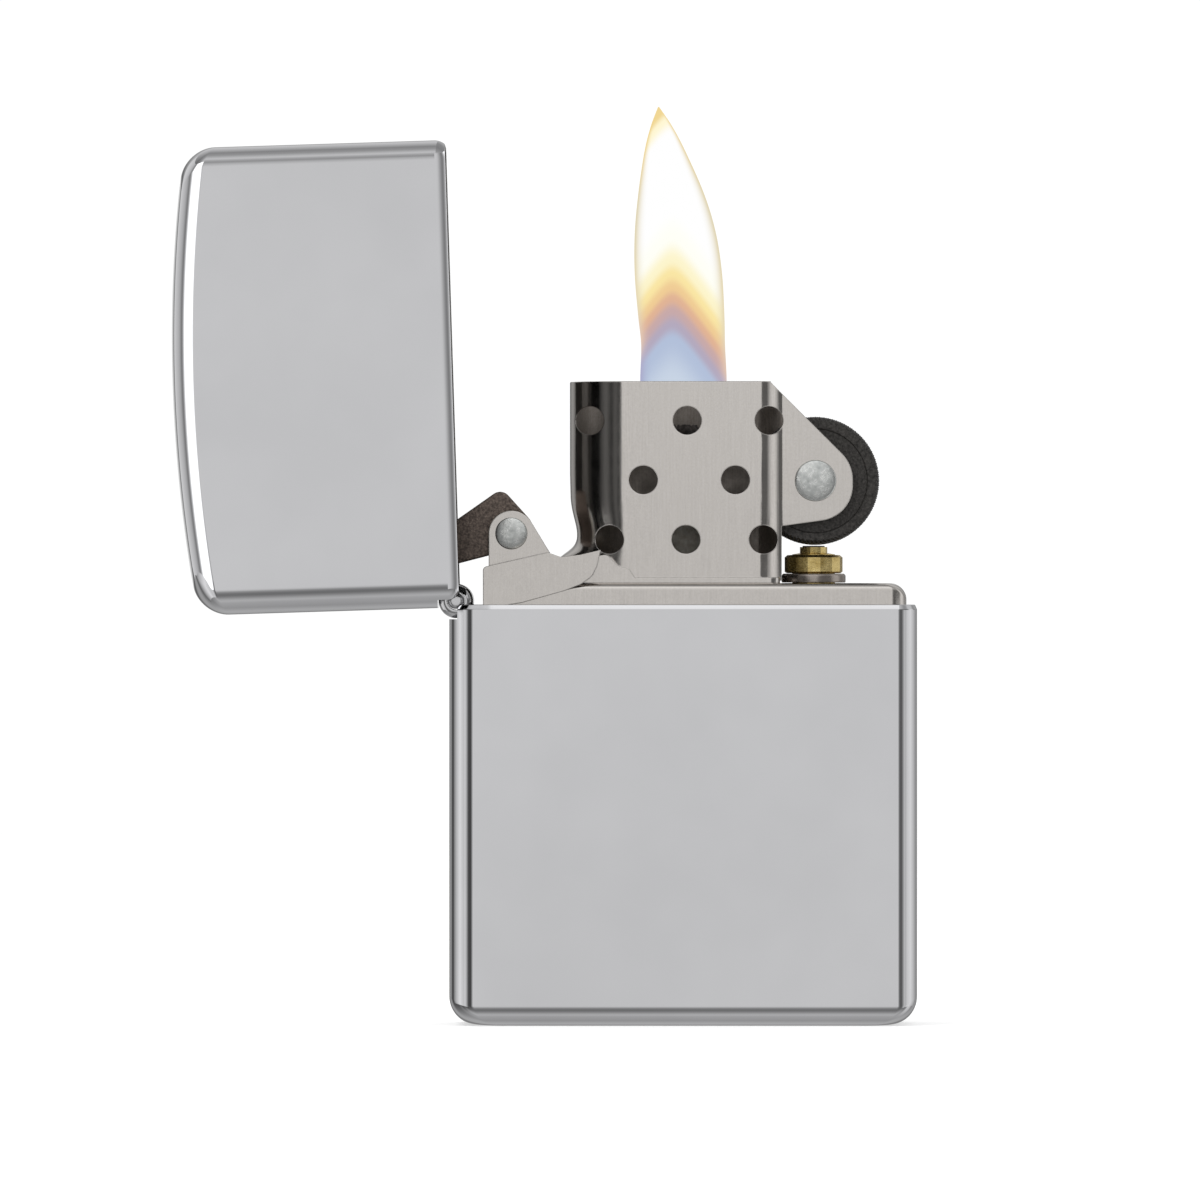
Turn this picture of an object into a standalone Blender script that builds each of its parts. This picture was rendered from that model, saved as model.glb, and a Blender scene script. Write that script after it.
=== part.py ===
"""Windproof flip-top petrol lighter, standing with its lid open.

Metres, +Z up. The origin is the centre of the case's flat bottom, the front is at -Y, and the lid opens
towards -X. The lid is modelled shut, in a frame on its hinge axis, and that frame is then turned open.
"""

import math

import bmesh
import bpy
from mathutils import Matrix, Vector

MM = 0.001

# Case and lid: drawn shells of one sheet thickness.
CASE_WIDTH = 38.1 * MM
CASE_DEPTH = 12.7 * MM
SHELL_WALL = 0.68 * MM
RIM_Z = 34.3 * MM
CASE_CORNER = 1.6 * MM
END_ROUND = 2.4 * MM
FACE_ROUND = 1.5 * MM
LIP = 0.22 * MM
LID_GAP = 0.05 * MM
LID_HEIGHT = 22.9 * MM
CROWN_BULGE = 1.5 * MM

# Lid hinge: five knuckles on one pin.
HINGE_X = -18.5 * MM
HINGE_Z = 34.6 * MM
LID_OPEN_DEG = 91.8
KNUCKLE_RADIUS = 1.4 * MM
PIN_RADIUS = 0.65 * MM
PIN_HOLE = 0.72 * MM
BARREL_HALF = 5.45 * MM
KNUCKLE_GAP = 0.08 * MM
LEAF_INNER = 0.22 * MM
LEAF_OUTER = 0.67 * MM
LEAF_HALF_WIDTH = 4.65 * MM
LEAF_START = 1.75 * MM
TAB_END = 0.95 * MM
LID_LEAF_LENGTH = 8.5 * MM
CASE_LEAF_LENGTH = 14.0 * MM
NOTCH_HALF = 5.8 * MM
NOTCH_REACH = 1.5 * MM
NOTCH_INNER_X = -17.7 * MM

# Insert can, open at the bottom.
CAN_LEFT = -15.9 * MM
CAN_RIGHT = 18.2 * MM
CAN_HALF_DEPTH = 5.36 * MM
CAN_BOTTOM = 1.8 * MM
DECK_Z = 36.05 * MM
CAN_WALL = 0.35 * MM
CAN_CORNER = 1.25 * MM
CAN_END_ROUND = 1.35 * MM
CAN_FACE_ROUND = 0.6 * MM

# Windscreen: one bent sheet, with the ears for the flint wheel.
SCREEN_SHEET = 0.5 * MM
SCREEN_HALF_DEPTH = 4.5 * MM
SCREEN_LEFT_CENTRE = -4.73 * MM
SCREEN_BEND_START = 6.2 * MM
SCREEN_RIGHT = 8.2 * MM
SCREEN_TOP = 52.5 * MM
EAR_HALF_GAP = 2.95 * MM
EAR_TIP = 14.2 * MM
WAIST_Z = 39.9 * MM
WAIST_SHARE = 0.13
FOOT_Z = 37.9 * MM
FOOT_SHARE = 0.26
BASE_PLATE_BOTTOM = 36.1 * MM
BASE_PLATE_TOP = 36.5 * MM
BASE_PLATE_LEFT = -9.6 * MM
BASE_PLATE_RIGHT = 7.9 * MM
BASE_PLATE_HALF_DEPTH = 4.85 * MM
VENT_RADIUS = 1.16 * MM
FRONT_VENTS = {49.3 * MM: (-7.6, 0.33, 7.0), 44.45 * MM: (-3.25, 4.26), 39.6 * MM: (-6.0, 0.23, 6.54)}
BACK_VENTS = {49.3 * MM: (-3.25, 4.0), 44.45 * MM: (-7.2, 0.3, 7.0), 39.6 * MM: (-2.9, 3.4)}

# Flint wheel and its rivet.
WHEEL_X = 10.8 * MM
WHEEL_Z = 44.4 * MM
WHEEL_RADIUS = 5.25 * MM
WHEEL_HALF = 2.55 * MM
TOOTH_DEPTH = 0.22 * MM
TOOTH_COUNT = 48
WHEEL_BORE = 1.0 * MM
WHEEL_RIVET = 0.9 * MM
WHEEL_RIVET_HEAD = 1.69 * MM
EAR_RADIUS = 3.05 * MM

# Cam, its bracket and its spring.
CAM_X = -14.0 * MM
CAM_Z = 40.1 * MM
CAM_HALF = 2.35 * MM
CAM_BORE = 0.8 * MM
CAM_RIVET = 0.7 * MM
CAM_RIVET_HEAD = 1.31 * MM
CAM_EAR_RADIUS = 1.85 * MM
CAM_EAR_INNER = 2.6 * MM
CAM_EAR_OUTER = 3.0 * MM
BRACKET_HALF = 5.52 * MM
BRACKET_INNER_HALF = 5.39 * MM
BRACKET_SHEET = 0.35 * MM
SPRING_SHEET = 0.25 * MM
SPRING_HALF = 1.9 * MM
SPRING_RIVET_X = -13.5 * MM
SPRING_RIVET = 0.5 * MM

# Flint tube and what it holds.
TUBE_X = 10.7 * MM
TUBE_RADIUS = 1.75 * MM
TUBE_BORE = 0.95 * MM
TUBE_BOTTOM = 2.0 * MM
TUBE_SHOULDER = 38.4 * MM
TUBE_TOP = 39.0 * MM
NECK_RADIUS = 1.12 * MM
COLLAR_RADIUS = 2.37 * MM
COLLAR_BOTTOM = 36.86 * MM
COLLAR_TOP = 38.35 * MM
COLLAR_FACETS = 10
FLANGE_RADIUS = 2.62 * MM
FLINT_RADIUS = 0.9 * MM
PLUNGER_RADIUS = 0.87 * MM
FLINT_BOTTOM = 33.5 * MM
FLINT_TOP = 39.1 * MM
COIL_WIRE = 0.17 * MM
COIL_RADIUS = 0.66 * MM
COIL_TURNS = 11
COIL_STEPS = 10
COIL_BOTTOM = 6.7 * MM
COIL_TOP = 30.6 * MM
SCREW_HEAD = 2.3 * MM
SCREW_SHANK = 0.87 * MM

# Wick and soft filling.
WICK_RADIUS = 1.6 * MM
WICK_HOLE = 1.9 * MM
WICK_BOTTOM = 4.0 * MM
WICK_TOP = 49.0 * MM
FELT_BOTTOM = 1.1 * MM
FELT_TOP = 2.9 * MM

CORNER_STEPS = 5
ROUND_STEPS = 5
FINE = 24
SHARP_ANGLE = math.radians(35.0)

STEEL = ("brushed_steel", (0.52, 0.48, 0.44), 0.32, 1.0)
CHROME = ("chrome", (0.62, 0.62, 0.64), 0.08, 1.0)
HINGE_STEEL = ("hinge_steel", (0.45, 0.45, 0.46), 0.22, 1.0)
RIVET_STEEL = ("rivet_steel", (0.47, 0.50, 0.50), 0.38, 1.0)
WHEEL_STEEL = ("wheel_steel", (0.035, 0.033, 0.031), 0.6, 0.7)
CAM_STEEL = ("cam_steel", (0.10, 0.08, 0.07), 0.5, 0.7)
BRASS = ("brass", (0.38, 0.28, 0.10), 0.3, 1.0)
FLINT_ALLOY = ("flint_alloy", (0.10, 0.10, 0.11), 0.7, 0.4)
COTTON = ("cotton", (0.80, 0.78, 0.72), 0.95, 0.0)
FELT = ("felt", (0.62, 0.60, 0.56), 1.0, 0.0)


def clear_scene():
    for item in list(bpy.data.objects):
        bpy.data.objects.remove(item, do_unlink=True)


def material(spec):
    name, colour, roughness, metallic = spec
    made = bpy.data.materials.get(name)
    if made:
        return made
    made = bpy.data.materials.new(name)
    made.use_nodes = True
    shader = made.node_tree.nodes["Principled BSDF"]
    shader.inputs["Base Color"].default_value = (*colour, 1.0)
    shader.inputs["Roughness"].default_value = roughness
    shader.inputs["Metallic"].default_value = metallic
    made.diffuse_color = (*colour, 1.0)
    return made


def empty(name, location):
    made = bpy.data.objects.new(name, None)
    made.location = location
    made.empty_display_size = 3 * MM
    bpy.context.scene.collection.objects.link(made)
    return made


def add(name, shape, spec, location=(0, 0, 0), parent=None):
    """Turns a bmesh into a smooth-shaded object with its own material."""
    bmesh.ops.recalc_face_normals(shape, faces=shape.faces)
    mesh = bpy.data.meshes.new(name)
    shape.to_mesh(mesh)
    shape.free()
    mesh.shade_smooth()
    mesh.set_sharp_from_angle(angle=SHARP_ANGLE)
    made = bpy.data.objects.new(name, mesh)
    made.location = location
    made.parent = parent
    bpy.context.scene.collection.objects.link(made)
    if spec:
        mesh.materials.append(material(spec))
    return made


def helper(name, shape, location=(0, 0, 0), parent=None):
    """A hidden operand for a Boolean."""
    made = add(name, shape, None, location, parent)
    made.hide_render = True
    made.display_type = "WIRE"
    return made


def boolean(target, operand, operation="DIFFERENCE"):
    modifier = target.modifiers.new(operand.name, "BOOLEAN")
    modifier.operation = operation
    modifier.solver = "EXACT"
    modifier.object = operand


# Outlines -----------------------------------------------------------------------------------------


def rounded(corners, steps=6):
    """Outline through (u, v, radius) corners in millimetres, each rounded by an arc."""
    outline = []
    for index, (u, v, radius) in enumerate(corners):
        here = Vector((u, v))
        if radius <= 0:
            outline.append(here * MM)
            continue
        back = (Vector(corners[index - 1][:2]) - here).normalized()
        ahead = (Vector(corners[(index + 1) % len(corners)][:2]) - here).normalized()
        half = math.acos(max(-1.0, min(1.0, back.dot(ahead)))) / 2
        centre = here + (back + ahead).normalized() * radius / math.sin(half)
        first = here + back * radius / math.tan(half) - centre
        last = here + ahead * radius / math.tan(half) - centre
        start = math.atan2(first.y, first.x)
        sweep = (math.atan2(last.y, last.x) - start + math.pi) % (2 * math.pi) - math.pi
        for step in range(steps + 1):
            angle = start + sweep * step / steps
            outline.append((centre + Vector((math.cos(angle), math.sin(angle))) * radius) * MM)
    return outline


def circle(radius, count=FINE, centre=(0.0, 0.0)):
    turns = [2 * math.pi * step / count for step in range(count)]
    return [Vector((centre[0] + radius * math.cos(a), centre[1] + radius * math.sin(a))) for a in turns]


def ribbon(points, thickness):
    """Outline of a strip of even thickness along a line of (u, v) millimetre points."""
    line = [Vector(point) * MM for point in points]
    left = []
    right = []
    for index, here in enumerate(line):
        before = line[max(index - 1, 0)]
        after = line[min(index + 1, len(line) - 1)]
        along = (after - before).normalized()
        across = Vector((-along.y, along.x)) * thickness / 2
        left.append(here + across)
        right.append(here - across)
    return left + right[::-1]


# Solids -------------------------------------------------------------------------------------------


def loft(rings, join_ends=False):
    """A skin through rings of equal length; join_ends closes the last ring onto the first."""
    shape = bmesh.new()
    loops = [[shape.verts.new(point) for point in ring] for ring in rings]
    pairs = list(zip(loops, loops[1:]))
    if join_ends:
        pairs.append((loops[-1], loops[0]))
    for lower, upper in pairs:
        for index in range(len(lower)):
            after = (index + 1) % len(lower)
            shape.faces.new((lower[index], lower[after], upper[after], upper[index]))
    return shape, loops


def strip_cap(shape, loop):
    """Closes a ring whose second half mirrors its first, with strips across."""
    count = len(loop)
    for index in range(count // 2 - 1):
        shape.faces.new((loop[index], loop[index + 1], loop[count - 2 - index], loop[count - 1 - index]))


def prism(outline, low, high, axis="Y"):
    """An outline extruded along Y (outline in X, Z), along Z (in X, Y) or along X (in Y, Z)."""
    place = {
        "Y": lambda point, at: (point[0], at, point[1]),
        "Z": lambda point, at: (point[0], point[1], at),
        "X": lambda point, at: (at, point[0], point[1]),
    }[axis]
    shape, loops = loft([[place(point, at) for point in outline] for at in (low, high)])
    shape.faces.new(loops[0])
    shape.faces.new(loops[1])
    return shape


def block(low, high):
    corners = [(low[0], low[1]), (high[0], low[1]), (high[0], high[1]), (low[0], high[1])]
    return prism(corners, low[2], high[2], "Z")


def lathe(profile, count=FINE, hollow=False):
    """Turns (radius, height) millimetre points about Z; a hollow profile is a closed loop."""
    rings = [[(p.x, p.y, height * MM) for p in circle(radius * MM, count)] for radius, height in profile]
    shape, loops = loft(rings, join_ends=hollow)
    if not hollow:
        shape.faces.new(loops[0])
        shape.faces.new(loops[-1])
    return shape


def merge(shapes):
    """Several closed solids in one bmesh, as one Boolean operand."""
    whole = bmesh.new()
    for shape in shapes:
        bmesh.ops.recalc_face_normals(shape, faces=shape.faces)
        mesh = bpy.data.meshes.new("part_of_operand")
        shape.to_mesh(mesh)
        shape.free()
        whole.from_mesh(mesh)
        bpy.data.meshes.remove(mesh)
    return whole


def turned(shape, angle, axis):
    bmesh.ops.rotate(shape, verts=shape.verts, cent=(0, 0, 0), matrix=Matrix.Rotation(angle, 3, axis))
    return shape


def moved(shape, offset):
    bmesh.ops.translate(shape, verts=shape.verts, vec=offset)
    return shape


# Drawn tubs: the case, the lid and the insert can --------------------------------------------------


def rectangle_ring(half_x, half_y, corner, long_steps, level):
    """A rectangle with round corners; level(x, share) gives the height, share being 1 on the end walls."""
    right = []
    for step in range(CORNER_STEPS + 1):
        turn = math.pi / 2 * step / CORNER_STEPS
        x = half_x - corner * (1 - math.cos(turn))
        y = corner * (1 - math.sin(turn)) - half_y
        right.append((x, y, math.cos(turn) ** 2))
    flat = half_x - corner
    middle = [(flat * (1 - 2 * step / long_steps), -half_y, 0.0) for step in range(1, long_steps)]
    front = right + middle + [(-x, y, share) for x, y, share in reversed(right)]
    back = [(x, -y, share) for x, y, share in reversed(front)]
    return [(x, y, level(x, share)) for x, y, share in front + back]


def tub(half_x, half_y, height, corner, end_round, face_round, wall, bulge=0.0, long_steps=2):
    """A drawn tub, mouth at z = 0 and closed end at +z, with rounded edges and a bowed closed end."""

    def skin(inset, mouth_rings):
        ends = end_round - inset
        faces = max(face_round - inset, 0.35 * MM)
        rings = [rectangle_ring(half_x - inset - trim, half_y - inset - trim, corner - inset - trim,
                                long_steps, lambda x, share, z=z: z) for trim, z in mouth_rings]
        for step in range(ROUND_STEPS + 1):
            turn = math.pi / 2 * step / ROUND_STEPS
            rise = 1 - math.sin(turn)
            run = 1 - math.cos(turn)

            def level(x, share):
                top = height - inset - bulge * (x / half_x) ** 2
                return top - rise * (ends * share + faces * (1 - share))

            rings.append(rectangle_ring(half_x - inset - run * ends, half_y - inset - run * faces,
                                        corner - inset, long_steps, level))
        return rings

    outer = skin(0.0, [(LIP, 0.0), (LIP * 0.3, LIP * 0.3), (0.0, LIP)])
    inner = skin(wall, [(0.0, 0.0)])
    shape, loops = loft(outer[::-1] + inner)
    strip_cap(shape, loops[0])
    strip_cap(shape, loops[-1])
    return shape


def build_case(spec):
    shape = tub(CASE_WIDTH / 2, CASE_DEPTH / 2, RIM_Z, CASE_CORNER, END_ROUND, FACE_ROUND, SHELL_WALL)
    turned(shape, math.pi, "X")
    body = add("case_body", shape, spec, (0, 0, RIM_Z))
    low = (-CASE_WIDTH / 2 - MM, -NOTCH_HALF, HINGE_Z - NOTCH_REACH)
    high = (NOTCH_INNER_X, NOTCH_HALF, RIM_Z + MM)
    boolean(body, helper("case_notch_cut", block(low, high)))


def build_lid(spec, axis):
    mouth = RIM_Z + LID_GAP - HINGE_Z
    shape = tub(CASE_WIDTH / 2, CASE_DEPTH / 2, LID_HEIGHT, CASE_CORNER, END_ROUND, FACE_ROUND, SHELL_WALL,
                CROWN_BULGE, long_steps=10)
    lid = add("case_lid", moved(shape, (-HINGE_X, 0, mouth)), spec, parent=axis)
    low = (-CASE_WIDTH / 2 - MM - HINGE_X, -NOTCH_HALF, mouth - MM)
    high = (NOTCH_INNER_X - HINGE_X, NOTCH_HALF, NOTCH_REACH)
    boolean(lid, helper("lid_notch_cut", block(low, high), parent=axis))


# Lid hinge ----------------------------------------------------------------------------------------


def knuckle_spans():
    """The (low, high) Y of the five knuckles, front to back."""
    pitch = 2 * BARREL_HALF / 5
    return [(-BARREL_HALF + pitch * k, -BARREL_HALF + pitch * (k + 1) - KNUCKLE_GAP) for k in range(5)]


def hinge_leaf(name, spans, length, upward, spec, location, parent):
    """A plate with rolled knuckles on the axis; it hangs down, or stands up when upward."""
    sign = 1 if upward else -1
    outline = [Vector((-LEAF_HALF_WIDTH, sign * length)), Vector((-LEAF_HALF_WIDTH, sign * LEAF_START))]
    for low, high in spans:
        low = max(low, -LEAF_HALF_WIDTH + 0.01 * MM)
        high = min(high, LEAF_HALF_WIDTH - 0.01 * MM)
        outline += [Vector((low, sign * LEAF_START)), Vector((low, sign * TAB_END))]
        outline += [Vector((high, sign * TAB_END)), Vector((high, sign * LEAF_START))]
    outline += [Vector((LEAF_HALF_WIDTH, sign * LEAF_START)), Vector((LEAF_HALF_WIDTH, sign * length))]
    leaf = add(name, prism(outline, LEAF_INNER, LEAF_OUTER, "X"), spec, location, parent)
    rolls = merge([prism(circle(KNUCKLE_RADIUS), low, high) for low, high in spans])
    hole = prism(circle(PIN_HOLE, 20), -BARREL_HALF - MM, BARREL_HALF + MM)
    boolean(leaf, helper(name + "_rolls", rolls, location, parent), "UNION")
    boolean(leaf, helper(name + "_hole", hole, location, parent))


def build_hinge(spec, lid_axis):
    spans = knuckle_spans()
    at = (HINGE_X, 0, HINGE_Z)
    hinge_leaf("case_hinge_leaf", spans[0::2], CASE_LEAF_LENGTH, False, spec, at, None)
    hinge_leaf("lid_hinge_leaf", spans[1::2], LID_LEAF_LENGTH, True, spec, (0, 0, 0), lid_axis)
    half = BARREL_HALF / MM
    radius = PIN_RADIUS / MM
    profile = [(radius * 0.7, -half), (radius, -half + 0.15), (radius, half - 0.15), (radius * 0.7, half)]
    add("hinge_pin", turned(lathe(profile, 20), math.pi / 2, "X"), spec, at)


# Insert -------------------------------------------------------------------------------------------


def build_can(spec):
    centre = (CAN_LEFT + CAN_RIGHT) / 2
    shape = tub((CAN_RIGHT - CAN_LEFT) / 2, CAN_HALF_DEPTH, DECK_Z - CAN_BOTTOM, CAN_CORNER, CAN_END_ROUND,
                CAN_FACE_ROUND, CAN_WALL)
    can = add("insert_case", shape, spec, (centre, 0, CAN_BOTTOM))
    low = DECK_Z - 2 * MM
    high = DECK_Z + MM
    holes = [(WICK_HOLE, 0.0), (TUBE_RADIUS + 0.08 * MM, TUBE_X), (SPRING_RIVET + 0.06 * MM, SPRING_RIVET_X)]
    shapes = [prism(circle(radius, 24, (x, 0.0)), low, high, "Z") for radius, x in holes]
    boolean(can, helper("deck_holes_cut", merge(shapes)))


def screen_path():
    """Middle line of the windscreen sheet seen from above, from the front ear round to the back ear."""
    middle = SCREEN_HALF_DEPTH - SCREEN_SHEET / 2
    ear = EAR_HALF_GAP + SCREEN_SHEET / 2
    front = [Vector((EAR_TIP, -ear))]
    for step in range(7):
        share = step / 6
        x = SCREEN_RIGHT + (SCREEN_BEND_START - SCREEN_RIGHT) * share
        front.append(Vector((x, -ear - (middle - ear) * (1 - math.cos(math.pi * share)) / 2)))
    for step in range(10):
        turn = math.pi / 2 * step / 9
        front.append(Vector((SCREEN_LEFT_CENTRE - middle * math.sin(turn), -middle * math.cos(turn))))
    return front + [Vector((point.x, -point.y)) for point in reversed(front[:-1])]


def left_end_share(height):
    """How far the rounded left end reaches at a height: a slight waist, then a flared foot."""
    waist = math.exp(-((height - WAIST_Z) / (2.0 * MM)) ** 2)
    foot = math.exp(-((height - FOOT_Z) / (0.9 * MM)) ** 2)
    return 1 - WAIST_SHARE * waist + FOOT_SHARE * foot


def screen_ring(height, offset_out, offset_in):
    path = screen_path()
    sides = ([], [])
    for index, here in enumerate(path):
        along = path[min(index + 1, len(path) - 1)] - path[max(index - 1, 0)]
        outward = Vector((along.y, -along.x)).normalized()
        for side, offset in zip(sides, (offset_out, -offset_in)):
            point = here - outward * offset
            if point.x < SCREEN_LEFT_CENTRE:
                point.x = SCREEN_LEFT_CENTRE + (point.x - SCREEN_LEFT_CENTRE) * left_end_share(height)
            side.append((point.x, point.y, height))
    return sides[0] + sides[1][::-1]


def ear_outline_cut():
    """Everything right of the windscreen that isn't the wheel ear, as one outline."""
    x = WHEEL_X / MM
    z = WHEEL_Z / MM
    tip = x + EAR_RADIUS / MM
    corners = [(7.15, 60, 0), (20, 60, 0), (20, 30, 0), (8.05, 30, 0), (8.05, z - 3.71, 0),
               (tip, z - 2.9, 2.9), (tip, z + 1.32, 3.05), (7.15, z + 8.02, 0)]
    return rounded(corners, 8)


def build_windscreen(spec):
    curved = (36.25, 37.3, 37.8, 38.3, 39.0, 40.0, 41.4, 43.0, 44.8)
    heights = [height * MM for height in curved] + [SCREEN_TOP]
    half = SCREEN_SHEET / 2
    shape, loops = loft([screen_ring(height, half, half) for height in heights])
    strip_cap(shape, loops[0])
    strip_cap(shape, loops[-1])
    screen = add("windscreen", shape, spec)
    plate = rounded([(BASE_PLATE_LEFT / MM, -BASE_PLATE_HALF_DEPTH / MM, 0.8),
                     (BASE_PLATE_RIGHT / MM, -BASE_PLATE_HALF_DEPTH / MM, 0.8),
                     (BASE_PLATE_RIGHT / MM, BASE_PLATE_HALF_DEPTH / MM, 0.8),
                     (BASE_PLATE_LEFT / MM, BASE_PLATE_HALF_DEPTH / MM, 0.8)], 4)
    foot = helper("windscreen_base_add", prism(plate, BASE_PLATE_BOTTOM, BASE_PLATE_TOP, "Z"))
    boolean(screen, foot, "UNION")
    depth = 8 * MM
    cuts = [prism(circle(WICK_HOLE, 24), BASE_PLATE_BOTTOM - MM, BASE_PLATE_TOP + MM, "Z")]
    for vents, (near, far) in ((FRONT_VENTS, (-depth, 0.0)), (BACK_VENTS, (0.0, depth))):
        for height, places in vents.items():
            cuts += [prism(circle(VENT_RADIUS, 16, (x * MM, height)), near, far) for x in places]
    boolean(screen, helper("vents_cut", merge(cuts)))
    boolean(screen, helper("ear_outline_cut", prism(ear_outline_cut(), -depth, depth)))
    bore = prism(circle(WHEEL_RIVET + 0.05 * MM, 20, (WHEEL_X, WHEEL_Z)), -depth, depth)
    boolean(screen, helper("ear_bore_cut", bore))


def bracket_outline():
    """Side outline of the cam bracket: sloped top, and a skirt edge that falls away to the left."""
    edge = [(-15.1, 34.1), (-13.1, 34.45), (-11.4, 34.92), (-9.7, 35.4), (-8.3, 35.95), (-7.4, 36.6)]
    corners = [(-16.3, 33.7, 0)] + [(x, z, 0) for x, z in edge]
    corners += [(-7.0, 37.4, 0), (-6.7, 38.75, 0), (-8.4, 38.35, 0), (-9.9, 38.15, 0), (-10.6, 38.4, 0),
                (-11.0, 38.55, 0), (-16.3, 37.35, 0.35)]
    return rounded(corners, 4)


def cam_ear_outline():
    x = CAM_X / MM
    z = CAM_Z / MM
    radius = CAM_EAR_RADIUS / MM
    left = x - radius
    top = z + radius
    corners = [(left, 37.3, 0), (-10.6, 38.2, 0), (-10.78, 38.4, 0), (x + 0.577 * radius, top, radius),
               (left, top, radius)]
    return rounded(corners, 8)


def build_cam_bracket(spec):
    bracket = add("cam_bracket", prism(bracket_outline(), -BRACKET_HALF, BRACKET_HALF), spec)
    sheet = BRACKET_SHEET / MM
    room = [(-16.3 + sheet, 30, 0), (-5, 30, 0), (-5, 38.75, 0), (-6.7, 38.4, 0), (-8.4, 38.0, 0),
            (-9.9, 37.8, 0), (-11.0, 38.2, 0), (-16.3 + sheet, 37.36 - sheet, 0)]
    cut = prism(rounded(room), -BRACKET_INNER_HALF, BRACKET_INNER_HALF)
    boolean(bracket, helper("bracket_room_cut", cut))
    foot_room = 0.14 * MM
    reach = (SCREEN_HALF_DEPTH + foot_room) * left_end_share(38.1 * MM)
    outline = [Vector((0.0, SCREEN_HALF_DEPTH + foot_room))]
    for step in range(25):
        turn = math.pi / 2 + math.pi * step / 24
        x = SCREEN_LEFT_CENTRE + reach * math.cos(turn)
        outline.append(Vector((x, (SCREEN_HALF_DEPTH + foot_room) * math.sin(turn))))
    outline.append(Vector((0.0, -SCREEN_HALF_DEPTH - foot_room)))
    cuts = [prism(outline, 30 * MM, 45 * MM, "Z"),
            block((-15.85 * MM, -CAM_EAR_INNER, 36 * MM), (-10.72 * MM, CAM_EAR_INNER, 45 * MM))]
    for index, cut in enumerate(cuts):
        boolean(bracket, helper(f"bracket_cut_{index + 1}", cut))
    ears = merge([prism(cam_ear_outline(), CAM_EAR_INNER, CAM_EAR_OUTER),
                  prism(cam_ear_outline(), -CAM_EAR_OUTER, -CAM_EAR_INNER)])
    boolean(bracket, helper("cam_ears_add", ears), "UNION")
    bore = prism(circle(CAM_RIVET + 0.05 * MM, 16, (CAM_X, CAM_Z)), -4 * MM, 4 * MM)
    boolean(bracket, helper("cam_ear_bore_cut", bore))


def build_cam(spec, axis):
    """Lever to the left, rounded hump on top, flats underneath that the spring bears on."""
    corners = [(-0.79, 3.7, 0.9), (1.75, 0.9, 1.2), (1.4, -1.7, 1.2), (-1.9, -1.8, 0.3), (-6.0, -2.87, 1.3),
               (-6.0, 0.05, 1.3)]
    cam = add("cam", prism(rounded(corners), -CAM_HALF, CAM_HALF), spec, parent=axis)
    boolean(cam, helper("cam_bore_cut", prism(circle(CAM_BORE, 20), -4 * MM, 4 * MM), parent=axis))


def rivet(name, shank, head, reach, head_height, spec, location):
    """A rivet along Y with a low domed head at each end."""
    shank /= MM
    head /= MM
    reach /= MM
    top = reach + head_height / MM
    half = [(shank, reach), (head, reach), (head, reach + (top - reach) * 0.45),
            (head * 0.86, reach + (top - reach) * 0.85), (head * 0.45, top)]
    profile = [(radius, -height) for radius, height in reversed(half)] + half
    return add(name, turned(lathe(profile, 24), math.pi / 2, "X"), spec, location)


def build_cam_spring(spec, rivet_spec):
    """A strip on the deck, turned back on itself so that its upper leg lies under the cam."""
    lower = [(-15.3, 36.23), (-11.2, 36.23)]
    bend = [(-11.2 + 0.42 * math.sin(a), 36.65 - 0.42 * math.cos(a)) for a in (0.5, 1.05, 1.6, 2.15, 2.7)]
    upper = [(-12.6, 37.15), (-14.2, 37.32), (-15.2, 37.34)]
    add("cam_spring", prism(ribbon(lower + bend + upper, SPRING_SHEET), -SPRING_HALF, SPRING_HALF), spec)
    hole = prism(circle(SPRING_RIVET + 0.06 * MM, 16, (SPRING_RIVET_X, 0.0)), 35 * MM, 36.6 * MM, "Z")
    boolean(bpy.data.objects["cam_spring"], helper("spring_hole_cut", hole))
    shank = SPRING_RIVET / MM
    profile = [(0.6, 35.3), (0.95, 35.4), (0.95, 35.66), (shank, 35.66), (shank, 36.38), (0.95, 36.38),
               (0.9, 36.55), (0.55, 36.68)]
    add("cam_spring_rivet", lathe(profile, 20), rivet_spec, (SPRING_RIVET_X, 0, 0))


# Flint wheel --------------------------------------------------------------------------------------


def wheel_ring(share, y):
    """Toothed outline: each tooth has a short crest and a short root."""
    points = []
    for index in range(TOOTH_COUNT * 2):
        angle = math.pi * index / TOOTH_COUNT
        radius = WHEEL_RADIUS if index % 2 == 0 else WHEEL_RADIUS - TOOTH_DEPTH
        points.append((radius * share * math.cos(angle), y, radius * share * math.sin(angle)))
    return points


def build_flint_wheel(spec, axis):
    stations = ((0.93, -WHEEL_HALF), (1.0, -WHEEL_HALF * 0.84), (1.0, WHEEL_HALF * 0.84), (0.93, WHEEL_HALF))
    shape, loops = loft([wheel_ring(share, y) for share, y in stations])
    shape.faces.new(loops[0])
    shape.faces.new(loops[-1])
    wheel = add("flint_wheel", shape, spec, parent=axis)
    boolean(wheel, helper("wheel_bore_cut", prism(circle(WHEEL_BORE, 20), -4 * MM, 4 * MM), parent=axis))


# Flint tube ---------------------------------------------------------------------------------------


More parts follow.
